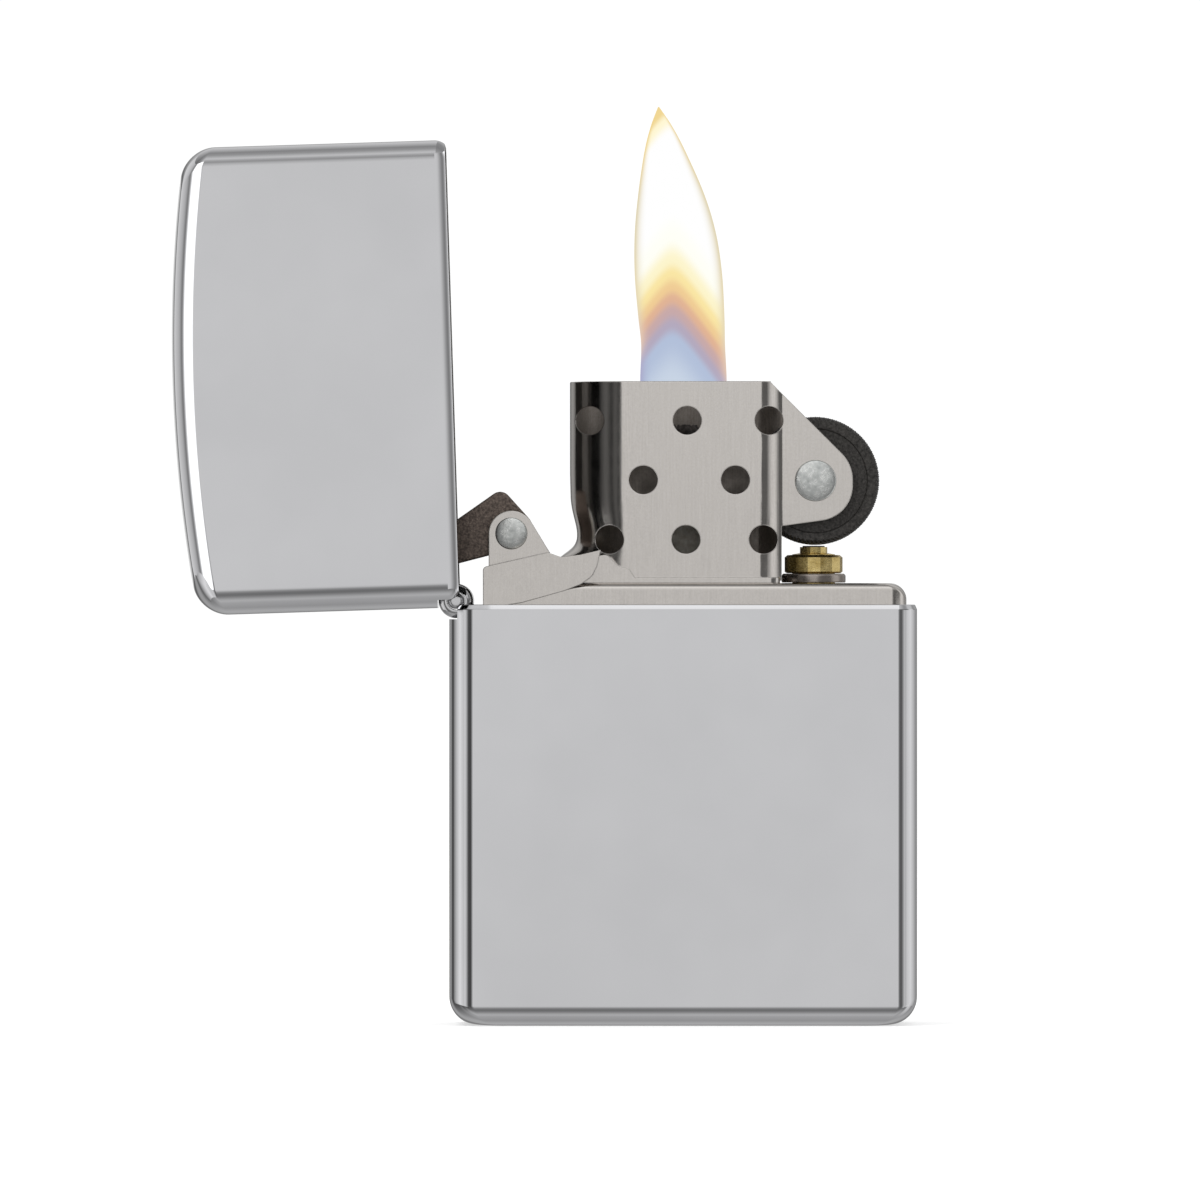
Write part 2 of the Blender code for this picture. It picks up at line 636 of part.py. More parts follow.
def build_flint_tube(brass, steel, alloy):
    bottom, shoulder, top = (value / MM for value in (TUBE_BOTTOM, TUBE_SHOULDER, TUBE_TOP))
    outer, bore, neck = (value / MM for value in (TUBE_RADIUS, TUBE_BORE, NECK_RADIUS))
    profile = [(outer, bottom), (outer, shoulder), (neck, shoulder + 0.12), (neck, top), (bore, top),
               (bore, bottom)]
    at = (TUBE_X, 0, 0)
    add("flint_tube", lathe(profile, 24, hollow=True), brass, at)
    low, high, radius = (value / MM for value in (COLLAR_BOTTOM, COLLAR_TOP, COLLAR_RADIUS))
    hole = outer + 0.06
    flat_hole = hole / math.cos(math.pi / COLLAR_FACETS)
    collar = [(radius - 0.25, low), (radius, low + 0.2), (radius, high - 0.25), (radius - 0.3, high),
              (flat_hole, high), (flat_hole, low)]
    add("tube_collar", lathe(collar, COLLAR_FACETS, hollow=True), brass, at)
    washer = FLANGE_RADIUS / MM
    seat = DECK_Z / MM + 0.05
    top = low - 0.03
    flange = [(washer, seat), (washer, top - 0.09), (washer - 0.12, top), (hole, top), (hole, seat)]
    add("tube_flange", lathe(flange, 26, hollow=True), steel, at)
    radius, low, high = (value / MM for value in (FLINT_RADIUS, FLINT_BOTTOM, FLINT_TOP))
    add("flint", lathe([(radius - 0.1, low), (radius, low + 0.1), (radius, high)], 20), alloy, at)


def coil_ring(turn, height):
    """One ring of the coiled wire, square to the wire's way along the helix."""
    radial = Vector((math.cos(turn), math.sin(turn), 0))
    centre = radial * COIL_RADIUS + Vector((0, 0, height))
    sides = [math.pi / 4 + math.pi / 2 * k for k in range(4)]
    return [centre + (radial * math.cos(a) + Vector((0, 0, 1)) * math.sin(a)) * COIL_WIRE for a in sides]


def build_flint_screw(axis, steel, brass):
    """The slotted screw, the coil it carries and the tip that pushes the flint."""
    head = SCREW_HEAD / MM
    shank = SCREW_SHANK / MM
    profile = [(head - 0.4, 1.0), (head, 1.15), (head, 1.85), (shank, 1.85), (shank, 6.2),
               (shank - 0.15, 6.4)]
    screw = add("flint_screw", lathe(profile, 24), brass, parent=axis)
    slot = block((-3 * MM, -0.3 * MM, 0.5 * MM), (3 * MM, 0.3 * MM, 1.45 * MM))
    boolean(screw, helper("screw_slot_cut", slot, parent=axis))
    steps = COIL_TURNS * COIL_STEPS
    rise = (COIL_TOP - COIL_BOTTOM) / steps
    turn = 2 * math.pi / COIL_STEPS
    shape, loops = loft([coil_ring(turn * step, COIL_BOTTOM + rise * step) for step in range(steps + 1)])
    shape.faces.new(loops[0])
    shape.faces.new(loops[-1])
    add("flint_spring", shape, steel, parent=axis)
    tip_radius = PLUNGER_RADIUS / MM
    tip = [(0.5, 31.0), (tip_radius, 31.3), (tip_radius, 33.1), (tip_radius - 0.25, 33.4)]
    add("flint_plunger", lathe(tip, 16), steel, parent=axis)


# Soft filling -------------------------------------------------------------------------------------


def build_wick(spec):
    low, high, radius = (value / MM for value in (WICK_BOTTOM, WICK_TOP, WICK_RADIUS))
    profile = [(radius * 0.7, low), (radius, low + 0.6), (radius, high - 0.8), (radius * 0.85, high - 0.3),
               (radius * 0.4, high)]
    add("wick", lathe(profile, 16), spec)


def cotton_ball(name, low, high, spec):
    """A swollen block between two millimetre corners, as packed wadding lies."""
    centre = [(a + b) / 2 for a, b in zip(low, high)]
    half = [(b - a) / 2 for a, b in zip(low, high)]
    power = 0.45
    rings = []
    for row in range(1, 8):
        tilt = math.pi * row / 8 - math.pi / 2
        ring = []
        for column in range(16):
            turn = 2 * math.pi * column / 16
            unit = (math.cos(tilt) * math.cos(turn), math.cos(tilt) * math.sin(turn), math.sin(tilt))
            swollen = [math.copysign(abs(value) ** power, value) for value in unit]
            longest = max(abs(value) for value in swollen)
            length = math.sqrt(sum(value * value for value in unit))
            even = [0.5 * s / longest + 0.5 * u / length for s, u in zip(swollen, unit)]
            ring.append([(c + h * value) * MM for c, h, value in zip(centre, half, even)])
        rings.append(ring)
    shape, loops = loft(rings)
    shape.faces.new(loops[0])
    shape.faces.new(loops[-1])
    add(name, shape, spec)


def build_cotton(spec):
    left = (-15.0, -2.1)
    right = (2.1, 8.4)
    rows = [(left, 4.4, 14.4), (left, 14.8, 24.8), (left, 25.2, 35.2), (right, 4.4, 19.6),
            (right, 20.0, 35.2)]
    for index, ((x0, x1), low, high) in enumerate(rows):
        cotton_ball(f"cotton_ball_{index + 1}", (x0, -4.6, low), (x1, 4.6, high), spec)


def build_felt(spec):
    outline = rounded([(-15.3, -4.7, 1), (17.6, -4.7, 1), (17.6, 4.7, 1), (-15.3, 4.7, 1)], 4)
    felt = add("felt_pad", prism(outline, FELT_BOTTOM, FELT_TOP, "Z"), spec)
    hole = prism(circle(SCREW_HEAD + 0.3 * MM, 20, (TUBE_X, 0.0)), 0.0, 5 * MM, "Z")
    boolean(felt, helper("felt_hole_cut", hole))


def build():
    clear_scene()
    lid_axis = empty("lid_axis", (HINGE_X, 0, HINGE_Z))
    lid_axis.rotation_euler = (0, math.radians(-LID_OPEN_DEG), 0)
    cam_axis = empty("cam_axis", (CAM_X, 0, CAM_Z))
    wheel_axis = empty("wheel_axis", (WHEEL_X, 0, WHEEL_Z))
    screw_axis = empty("screw_axis", (TUBE_X, 0, 0))
    build_case(CHROME)
    build_lid(CHROME, lid_axis)
    build_hinge(HINGE_STEEL, lid_axis)
    build_can(STEEL)
    build_windscreen(STEEL)
    build_cam_bracket(STEEL)
    build_cam(CAM_STEEL, cam_axis)
    rivet("cam_rivet", CAM_RIVET, CAM_RIVET_HEAD, CAM_EAR_OUTER + 0.03 * MM, 0.4 * MM, RIVET_STEEL,
          (CAM_X, 0, CAM_Z))
    build_cam_spring(STEEL, RIVET_STEEL)
    build_flint_wheel(WHEEL_STEEL, wheel_axis)
    rivet("wheel_rivet", WHEEL_RIVET, WHEEL_RIVET_HEAD, EAR_HALF_GAP + SCREEN_SHEET + 0.03 * MM, 0.45 * MM,
          RIVET_STEEL, (WHEEL_X, 0, WHEEL_Z))
    build_flint_tube(BRASS, STEEL, FLINT_ALLOY)
    build_flint_screw(screw_axis, STEEL, BRASS)
    build_wick(COTTON)
    build_cotton(COTTON)
    build_felt(FELT)


build()
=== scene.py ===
"""Flip-top petrol lighter: finished pieces, materials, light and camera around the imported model.

Metres, +Z up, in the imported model's frame. The front is at -Y and the lid opens towards -X. Pieces of the lid
are built shut, in the hinge's frame, and LID_PLACE turns them open.
"""

import math

import bmesh
import bpy
from mathutils import Matrix, Vector, noise


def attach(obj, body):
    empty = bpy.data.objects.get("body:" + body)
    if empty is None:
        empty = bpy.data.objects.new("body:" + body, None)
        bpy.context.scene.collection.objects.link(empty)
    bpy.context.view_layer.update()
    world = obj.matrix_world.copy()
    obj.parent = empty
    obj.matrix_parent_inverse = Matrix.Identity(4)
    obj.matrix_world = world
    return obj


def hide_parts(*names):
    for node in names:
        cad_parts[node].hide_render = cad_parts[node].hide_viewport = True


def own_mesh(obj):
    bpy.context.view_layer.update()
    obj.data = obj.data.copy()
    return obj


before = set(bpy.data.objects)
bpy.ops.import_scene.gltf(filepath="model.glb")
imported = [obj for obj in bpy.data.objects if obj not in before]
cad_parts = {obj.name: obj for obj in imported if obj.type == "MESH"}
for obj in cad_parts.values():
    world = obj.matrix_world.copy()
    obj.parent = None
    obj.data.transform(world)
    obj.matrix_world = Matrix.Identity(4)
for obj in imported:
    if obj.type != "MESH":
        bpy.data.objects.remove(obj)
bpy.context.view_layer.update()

MM = 0.001

# The same driving sizes as the CAD model, in millimetres.
CASE_HALF_WIDTH = 19.05
CASE_HALF_DEPTH = 6.35
SHELL_WALL = 0.68
RIM_Z = 34.3
LID_GAP = 0.05
LID_HEIGHT = 22.9
CROWN_BULGE = 1.5
END_ROUND = 2.4
BOTTOM_FACE_ROUND = 1.64
CROWN_FACE_ROUND = 1.5
HINGE_SIDE_CORNER = 2.06
FAR_SIDE_CORNER = 1.66
CROWN_DOME_RADIUS = 40.0
HINGE_X = -18.5
HINGE_Z = 34.6
LID_OPEN_DEG = 91.8
KNUCKLE_RADIUS = 1.4
PIN_RADIUS = 0.65
PIN_HOLE = 0.72
BARREL_HALF = 5.45
KNUCKLE_GAP = 0.08
LEAF_INNER = 0.22
LEAF_OUTER = 0.67
LEAF_HALF_WIDTH = 4.65
LEAF_START = 1.75
TAB_END = 0.95
LID_LEAF_LENGTH = 8.5
CASE_LEAF_LENGTH = 14.0
NOTCH_HALF = 5.8
NOTCH_REACH = 1.5
NOTCH_INNER_X = -17.7

CAN_LEFT = -15.9
CAN_RIGHT = 18.2
CAN_HALF_DEPTH = 5.36
CAN_BOTTOM = 1.8
DECK_Z = 36.05
CAN_WALL = 0.35
CAN_CORNER = 1.25
CAN_END_ROUND = 1.35
CAN_FACE_ROUND = 0.6

SCREEN_SHEET = 0.5
SCREEN_HALF_DEPTH = 4.5
SCREEN_LEFT_CENTRE = -4.73
SCREEN_BEND_START = 6.2
SCREEN_RIGHT = 8.2
SCREEN_TOP = 52.5
EAR_HALF_GAP = 2.95
EAR_TIP = 14.2
EAR_RADIUS = 3.05
WAIST_Z = 39.9
WAIST_SHARE = 0.13
FOOT_Z = 37.9
FOOT_SHARE = 0.26
BASE_PLATE = (-9.6, 7.9, 4.85, 36.04, 36.5)
VENT_RADIUS = 1.16
FRONT_VENTS = {49.3: (-7.6, 0.33, 7.0), 44.45: (-3.25, 4.26), 39.6: (-6.0, 0.23, 6.54)}
BACK_VENTS = {49.3: (-3.25, 4.0), 44.45: (-7.2, 0.3, 7.0), 39.6: (-2.9, 3.4)}

WHEEL_X = 10.8
WHEEL_Z = 44.4
WHEEL_RADIUS = 5.25
WHEEL_HALF = 2.55
WHEEL_TEETH = 92
WHEEL_TOOTH_DEPTH = 0.18
WHEEL_BORE = 1.0
WHEEL_RIVET = 0.9
WHEEL_RIVET_HEAD = 1.69

CAM_X = -14.0
CAM_Z = 40.1
CAM_HALF = 2.35
CAM_BORE = 0.8
CAM_RIVET = 0.7
CAM_RIVET_HEAD = 1.31
CAM_EAR_RADIUS = 1.85
CAM_EAR_INNER = 2.6
CAM_EAR_OUTER = 3.0
BRACKET_HALF = 5.52
BRACKET_INNER_HALF = 5.39
BRACKET_SHEET = 0.35

TUBE_X = 10.7
TUBE_RADIUS = 1.75
COLLAR_RADIUS = 2.37
COLLAR_BOTTOM = 36.86
COLLAR_TOP = 38.35
COLLAR_FACETS = 14
FLANGE_RADIUS = 2.62
SPRING_RIVET = 0.5
SPRING_RIVET_X = -13.5

WICK_RADIUS = 1.6
WICK_HOLE = 1.9
WICK_BOTTOM = 4.0
WICK_TOP = 49.0

# Camera: straight on, far away, level with the middle of the open lighter and flame.
VIEW_CENTRE = (-6.77, 34.67)
VIEW_WIDTH = 97.88
LENS = 400.0
SENSOR = 36.0
FOCUS_PLANE_Y = -3.0

CORNER_STEPS = 14
ROUND_STEPS = 16
FINE = 64
FACE_GREY = 0.81

LID_PLACE = (Matrix.Translation((HINGE_X * MM, 0, HINGE_Z * MM))
             @ Matrix.Rotation(math.radians(-LID_OPEN_DEG), 4, "Y"))
HERE = Matrix.Identity(4)


# Outlines, in millimetres --------------------------------------------------------------------------


def rounded(corners, steps=10):
    """Outline through (u, v, radius) corners, each rounded by an arc."""
    outline = []
    for index, (u, v, radius) in enumerate(corners):
        here = Vector((u, v))
        if radius <= 0:
            outline.append(here)
            continue
        back = (Vector(corners[index - 1][:2]) - here).normalized()
        ahead = (Vector(corners[(index + 1) % len(corners)][:2]) - here).normalized()
        half = math.acos(max(-1.0, min(1.0, back.dot(ahead)))) / 2
        centre = here + (back + ahead).normalized() * radius / math.sin(half)
        first = here + back * radius / math.tan(half) - centre
        last = here + ahead * radius / math.tan(half) - centre
        start = math.atan2(first.y, first.x)
        sweep = (math.atan2(last.y, last.x) - start + math.pi) % (2 * math.pi) - math.pi
        for step in range(steps + 1):
            angle = start + sweep * step / steps
            outline.append(centre + Vector((math.cos(angle), math.sin(angle))) * radius)
    return outline


def circle(radius, count=FINE, centre=(0.0, 0.0)):
    turns = [2 * math.pi * step / count for step in range(count)]
    return [Vector((centre[0] + radius * math.cos(a), centre[1] + radius * math.sin(a))) for a in turns]


# Shapes, in millimetres ----------------------------------------------------------------------------


def loft(rings, join_ends=False):
    """A skin through rings of equal length; join_ends closes the last ring onto the first."""
    shape = bmesh.new()
    loops = [[shape.verts.new(point) for point in ring] for ring in rings]
    pairs = list(zip(loops, loops[1:]))
    if join_ends:
        pairs.append((loops[-1], loops[0]))
    for lower, upper in pairs:
        for index in range(len(lower)):
            after = (index + 1) % len(lower)
            shape.faces.new((lower[index], lower[after], upper[after], upper[index]))
    return shape, loops


def strip_cap(shape, loop):
    """Closes a ring whose second half mirrors its first, with strips across."""
    count = len(loop)
    for index in range(count // 2 - 1):
        shape.faces.new((loop[index], loop[index + 1], loop[count - 2 - index], loop[count - 1 - index]))


def prism(outline, low, high, axis="Y"):
    """An outline extruded along Y (outline in X, Z), along Z (in X, Y) or along X (in Y, Z)."""
    place = {
        "Y": lambda point, at: (point[0], at, point[1]),
        "Z": lambda point, at: (point[0], point[1], at),
        "X": lambda point, at: (at, point[0], point[1]),
    }[axis]
    shape, loops = loft([[place(point, at) for point in outline] for at in (low, high)])
    shape.faces.new(loops[0])
    shape.faces.new(loops[1])
    return shape


def block(low, high):
    corners = [(low[0], low[1]), (high[0], low[1]), (high[0], high[1]), (low[0], high[1])]
    return prism(corners, low[2], high[2], "Z")


def lathe(profile, count=FINE, hollow=False):
    """Turns (radius, height) points about Z; a hollow profile is a closed loop."""
    rings = [[(p.x, p.y, height) for p in circle(radius, count)] for radius, height in profile]
    shape, loops = loft(rings, join_ends=hollow)
    if not hollow:
        shape.faces.new(loops[0])
        shape.faces.new(loops[-1])
    return shape


def merge(shapes):
    """Several closed solids in one bmesh."""
    whole = bmesh.new()
    for shape in shapes:
        bmesh.ops.recalc_face_normals(shape, faces=shape.faces)
        mesh = bpy.data.meshes.new("part")
        shape.to_mesh(mesh)
        shape.free()
        whole.from_mesh(mesh)
        bpy.data.meshes.remove(mesh)
    return whole


def along_y(shape, centre):
    """Turns a shape made about Z so that it lies along Y, through (x, z)."""
    bmesh.ops.rotate(shape, verts=shape.verts, cent=(0, 0, 0), matrix=Matrix.Rotation(math.pi / 2, 3, "X"))
    return shifted(shape, (centre[0], 0, centre[1]))


def shifted(shape, offset):
    bmesh.ops.translate(shape, verts=shape.verts, vec=offset)
    return shape


def object_from(name, shape, place=HERE):
    bmesh.ops.recalc_face_normals(shape, faces=shape.faces)
    mesh = bpy.data.meshes.new(name)
    shape.to_mesh(mesh)
    shape.free()
    mesh.transform(place @ Matrix.Scale(MM, 4))
    made = bpy.data.objects.new(name, mesh)
    bpy.context.scene.collection.objects.link(made)
    return made


def settle(made):
    """Applies every modifier."""
    evaluated = made.evaluated_get(bpy.context.evaluated_depsgraph_get())
    mesh = bpy.data.meshes.new_from_object(evaluated)
    made.modifiers.clear()
    made.data = mesh
    mesh.name = made.name


# On bevelled pieces corner normals join faces within this many degrees; a bevel's own steps are wider.
BEVEL_SMOOTH = 10.0
# There, level regions of at least this many square metres keep their own normal right up to their edges.
LEVEL_AREA = 8e-6
LEVEL_COSINE = 1 - 5e-7


def level_areas(mesh):
    """For each face, the area of the level region that it belongs to."""
    parents = list(range(len(mesh.polygons)))

    def root(index):
        while parents[index] != index:
            parents[index] = parents[parents[index]]
            index = parents[index]
        return index

    first_beside = {}
    for face in mesh.polygons:
        for edge in face.edge_keys:
            other = mesh.polygons[first_beside.setdefault(edge, face.index)]
            if other.normal.dot(face.normal) > LEVEL_COSINE:
                parents[root(other.index)] = root(face.index)
    totals = {}
    for face in mesh.polygons:
        totals[root(face.index)] = totals.get(root(face.index), 0.0) + face.area
    return [totals[root(index)] for index in range(len(parents))]


def even_normals(mesh, limit, keep_level):
    """Corner normals averaged over faces that meet within the limit in degrees; large faces count most."""
    closest = math.cos(math.radians(limit))
    regions = level_areas(mesh) if keep_level else [0.0] * len(mesh.polygons)
    faces = [(face.normal.copy(), face.area, region) for face, region in zip(mesh.polygons, regions)]
    around = [[] for _ in mesh.vertices]
    for face in mesh.polygons:
        for vertex in face.vertices:
            around[vertex].append(face.index)
    normals = []
    for face in mesh.polygons:
        own = face.normal
        for vertex in face.vertices:
            near = [faces[index] for index in around[vertex] if faces[index][0].dot(own) > closest]
            level = max(near, key=lambda entry: entry[2], default=(own, 0.0, 0.0))
            if level[2] >= LEVEL_AREA:
                normals.append(level[0])
                continue
            total = Vector()
            for normal, area, _ in near:
                total += normal * area
            normals.append(total.normalized())
    mesh.normals_split_custom_set(normals)


def piece(name, shape, body, finish, nodes=(), tools=(), place=HERE, bevel=0.0, sharp=35.0,
          level=False):
    """A finished piece: (operation, shape) tools are applied, edges rounded, and it rides on its body."""
    made = object_from(name, shape, place)
    for material in finish if isinstance(finish, tuple) else (finish,):
        made.data.materials.append(material)
    operands = []
    for index, (operation, tool) in enumerate(tools):
        operand = object_from(f"{name}_tool_{index}", tool, place)
        modifier = made.modifiers.new(operand.name, "BOOLEAN")
        modifier.operation = operation
        modifier.solver = "EXACT"
        modifier.object = operand
        operands.append(operand)
    settle(made)
    for operand in operands:
        bpy.data.objects.remove(operand, do_unlink=True)
    made.data.shade_smooth()
    if bevel:
        rounding = made.modifiers.new("edges", "BEVEL")
        rounding.width = bevel * MM
        rounding.segments = 3
        rounding.limit_method = "ANGLE"
        rounding.angle_limit = math.radians(sharp)
        rounding.miter_outer = "MITER_ARC"
        settle(made)
    even_normals(made.data, BEVEL_SMOOTH if bevel else sharp, level or bevel > 0)
    if nodes:
        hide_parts(*nodes)
    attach(made, body)
    return made


# Materials -----------------------------------------------------------------------------------------


def feed(tree, value, socket):
    """Gives a socket a plain value, or links it to another node's output."""
    if isinstance(value, (int, float)):
        socket.default_value = value
    else:
        tree.links.new(value, socket)


def math_node(tree, operation, *values):
    node = tree.nodes.new("ShaderNodeMath")
    node.operation = operation
    for socket, value in zip(node.inputs, values):
        feed(tree, value, socket)
    return node.outputs[0]


def mix_node(tree, share, first, second):
    node = tree.nodes.new("ShaderNodeMix")
    node.data_type = "RGBA"
    for index, value in ((0, share), (6, first), (7, second)):
        tree.links.new(value, node.inputs[index])
    return node.outputs[2]


def ramp_node(tree, source, stops, ease="LINEAR"):
    """A colour ramp through (position, colour) stops."""
    node = tree.nodes.new("ShaderNodeValToRGB")
    node.color_ramp.interpolation = ease
    elements = node.color_ramp.elements
    for element, (position, colour) in zip(elements, (stops[0], stops[-1])):
        element.position = position
        element.color = (*colour, 1.0)
    for position, colour in stops[1:-1]:
        elements.new(position).color = (*colour, 1.0)
    tree.links.new(source, node.inputs["Fac"])
    return node.outputs["Color"]


class Finish:
    """A node material under construction, in object coordinates."""

    def __init__(self, name, colour, roughness, metallic=1.0):
        self.material = bpy.data.materials.new(name)
        self.material.use_nodes = True
        self.tree = self.material.node_tree
        self.shader = self.tree.nodes["Principled BSDF"]
        self.shader.inputs["Base Color"].default_value = (*colour, 1.0)
        self.shader.inputs["Roughness"].default_value = roughness
        self.shader.inputs["Metallic"].default_value = metallic
        self.place = self.tree.nodes.new("ShaderNodeTexCoord")
        self.material.diffuse_color = (*colour, 1.0)

    def link(self, out, into):
        self.tree.links.new(out, into)

    def stretched(self, stretch):
        node = self.tree.nodes.new("ShaderNodeMapping")
        node.inputs["Scale"].default_value = stretch
        self.link(self.place.outputs["Object"], node.inputs["Vector"])
        return node.outputs["Vector"]

    def noise(self, size, detail=4.0, stretch=(1, 1, 1), rough=0.6):
        """Cloud noise whose patches are about size millimetres wide."""
        node = self.tree.nodes.new("ShaderNodeTexNoise")
        node.inputs["Scale"].default_value = 1 / (size * MM)
        node.inputs["Detail"].default_value = detail
        node.inputs["Roughness"].default_value = rough
        self.link(self.stretched(stretch), node.inputs["Vector"])
        return node.outputs["Fac"]

    def spread(self, value, low, high, start=0.3, end=0.7):
        """Maps a 0..1 value onto low..high."""
        node = self.tree.nodes.new("ShaderNodeMapRange")
        node.inputs["From Min"].default_value = start
        node.inputs["From Max"].default_value = end
        node.inputs["To Min"].default_value = low
        node.inputs["To Max"].default_value = high
        self.link(value, node.inputs["Value"])
        return node.outputs["Result"]

    def ramp(self, value, stops):
        return ramp_node(self.tree, value, stops)

    def colour(self, value, dark, light, start=0.3, end=0.7):
        self.link(self.ramp(value, [(start, dark), (end, light)]), self.shader.inputs["Base Color"])

    def mix(self, share, first, second):
        return mix_node(self.tree, share, first, second)

    def rough(self, value, low, high):
        self.link(self.spread(value, low, high), self.shader.inputs["Roughness"])

    def bump(self, value, depth, before=None):
        """Relief of depth millimetres between the value's extremes."""
        node = self.tree.nodes.new("ShaderNodeBump")
        node.inputs["Distance"].default_value = depth * MM
        self.link(value, node.inputs["Height"])
        if before:
            self.link(before, node.inputs["Normal"])
        self.link(node.outputs["Normal"], self.shader.inputs["Normal"])
        return node.outputs["Normal"]

    def math(self, operation, first, second):
        return math_node(self.tree, operation, first, second)


def make_chrome():
    """Polished plate: faint haze, hairlines along the long way, and a barely uneven surface."""
    made = Finish("polished_chrome", (0.66, 0.66, 0.675), 0.04)
    made.colour(made.noise(9.0, 2.0), (0.645, 0.645, 0.66), (0.675, 0.675, 0.69))
    hairlines = made.noise(0.5, 3.0, (1.0, 1.0, 0.05))
    made.rough(hairlines, 0.025, 0.06)
    made.bump(made.noise(12.0, 1.0), 0.004)
    return made.material


def make_inside():
    """The shells' unpolished inside: dull, drawn metal."""
    made = Finish("drawn_inside", (0.30, 0.29, 0.28), 0.42)
    made.colour(made.noise(2.5, 4.0), (0.22, 0.212, 0.205), (0.36, 0.35, 0.335))
    made.rough(made.noise(0.6, 3.0, (1, 1, 0.1)), 0.34, 0.52)
    made.bump(made.noise(0.2, 2.0, (1, 1, 0.06)), 0.006)
    return made.material


# Radius over which steel's sharp edges catch the light.
SOFT_EDGE = 0.12


def make_steel(name, base, grain, rough_low, rough_high, depth):
    """Rolled sheet: a fine speckle and drawing lines that run upright."""
    made = Finish(name, base, rough_low)
    speckle = made.noise(0.16, 3.0, (1, 1, 1), 0.7)
    lines = made.noise(0.12, 2.0, (1, 1, 0.04))
    both = made.math("ADD", made.math("MULTIPLY", speckle, 0.6), made.math("MULTIPLY", lines, 0.4))
    darker = tuple(value * (1 - grain) for value in base)
    lighter = tuple(min(1.0, value * (1 + grain)) for value in base)
    made.colour(both, darker, lighter, 0.35, 0.65)
    made.rough(made.noise(1.4, 3.0), rough_low, rough_high)
    edges = made.tree.nodes.new("ShaderNodeBevel")
    edges.samples = 6
    edges.inputs["Radius"].default_value = SOFT_EDGE * MM
    made.bump(both, depth, edges.outputs["Normal"])
    return made.material


def make_mottled(name, dark, light, size, rough_low, rough_high, depth, metallic=1.0):
    """Hammered or cast metal, mottled at the given size."""
    made = Finish(name, light, rough_high, metallic)
    clouds = made.noise(size, 5.0, (1, 1, 1), 0.65)
    made.colour(clouds, dark, light)
    made.rough(clouds, rough_high, rough_low)
    made.bump(made.noise(size * 0.6, 4.0), depth)
    return made.material


def make_brass():
    made = Finish("turned_brass", (0.75, 0.56, 0.2), 0.22)
    patina = made.noise(1.1, 4.0)
    made.colour(patina, (0.45, 0.31, 0.09), (0.95, 0.76, 0.34))
    made.rough(made.noise(0.3, 3.0, (1, 1, 6)), 0.16, 0.36)
    made.bump(made.noise(0.1, 2.0, (0.15, 0.15, 4)), 0.006)
    return made.material


def make_cotton(name, base, tangle):
    """Loose fibres: soft clumps with crossing threads."""
    made = Finish(name, base, 0.95, 0.0)
    made.shader.inputs["Sheen Weight"].default_value = 0.4
    clumps = made.noise(tangle, 6.0, (1, 1, 1), 0.75)
    threads = made.noise(tangle * 0.3, 3.0, (4, 1, 0.5))
    dark = tuple(value * 0.72 for value in base)
    made.colour(clumps, dark, base)
    first = made.bump(threads, 0.12)
    made.bump(clumps, 0.35, first)
    return made.material


def make_wick():
    """Braided cotton, dark from the deck up: charred at the top by the flame, and painted shade lower down,
    inside the chimney.
    """
    made = Finish("charred_and_shaded_wick", (0.7, 0.66, 0.58), 0.95, 0.0)
    split = made.tree.nodes.new("ShaderNodeSeparateXYZ")
    made.link(made.place.outputs["Object"], split.inputs["Vector"])
    uneven = made.math("MULTIPLY", made.noise(0.8, 3.0), 2.0 * MM)
    height = made.math("ADD", split.outputs["Z"], uneven)
    # Darkening rises from the deck to 5 mm below the top: char near the top, painted shade of the chimney's
    # hollow below it.
    char_and_shade = made.spread(height, 0.0, 1.0, (DECK_Z - 1.0) * MM, (WICK_TOP - 5.0) * MM)
    fibre = made.ramp(made.noise(0.35, 5.0), [(0.3, (0.5, 0.46, 0.38)), (0.7, (0.82, 0.79, 0.72))])
    char_shade_colour = made.ramp(made.noise(0.3, 5.0), [(0.35, (0.008, 0.007, 0.006)), (0.7, (0.06, 0.05, 0.045))])
    made.link(made.mix(char_and_shade, fibre, char_shade_colour), made.shader.inputs["Base Color"])
    made.bump(made.noise(0.14, 3.0, (2, 2, 0.6)), 0.05)
    return made.material


def make_flint():
    made = Finish("flint_rod", (0.10, 0.10, 0.11), 0.6, 0.5)
    made.colour(made.noise(0.3, 5.0), (0.05, 0.05, 0.055), (0.18, 0.175, 0.17))
    made.bump(made.noise(0.12, 4.0), 0.03)
    return made.material


# Drawn shells --------------------------------------------------------------------------------------


def shell_ring(half_x, half_y, corners, columns, level):
    """A rectangle with round corners (hinge side, far side); level(x, y, share), share 1 on the end walls."""

    def quarter(corner):
        turns = [math.pi / 2 * step / CORNER_STEPS for step in range(CORNER_STEPS + 1)]
        return [(half_x - corner * (1 - math.cos(t)), corner * (1 - math.sin(t)) - half_y, math.cos(t) ** 2)
                for t in turns]

    near, far = (min(corner, half_y * 0.98) for corner in corners)
    right = quarter(far)
    left = [(-x, y, share) for x, y, share in reversed(quarter(near))]
    first = half_x - far
    last = near - half_x
    middle = [(first + (last - first) * step / columns, -half_y, 0.0) for step in range(1, columns)]
    front = right + middle + left
    back = [(x, -y, share) for x, y, share in reversed(front)]
    return [(x, y, level(x, y, share)) for x, y, share in front + back]


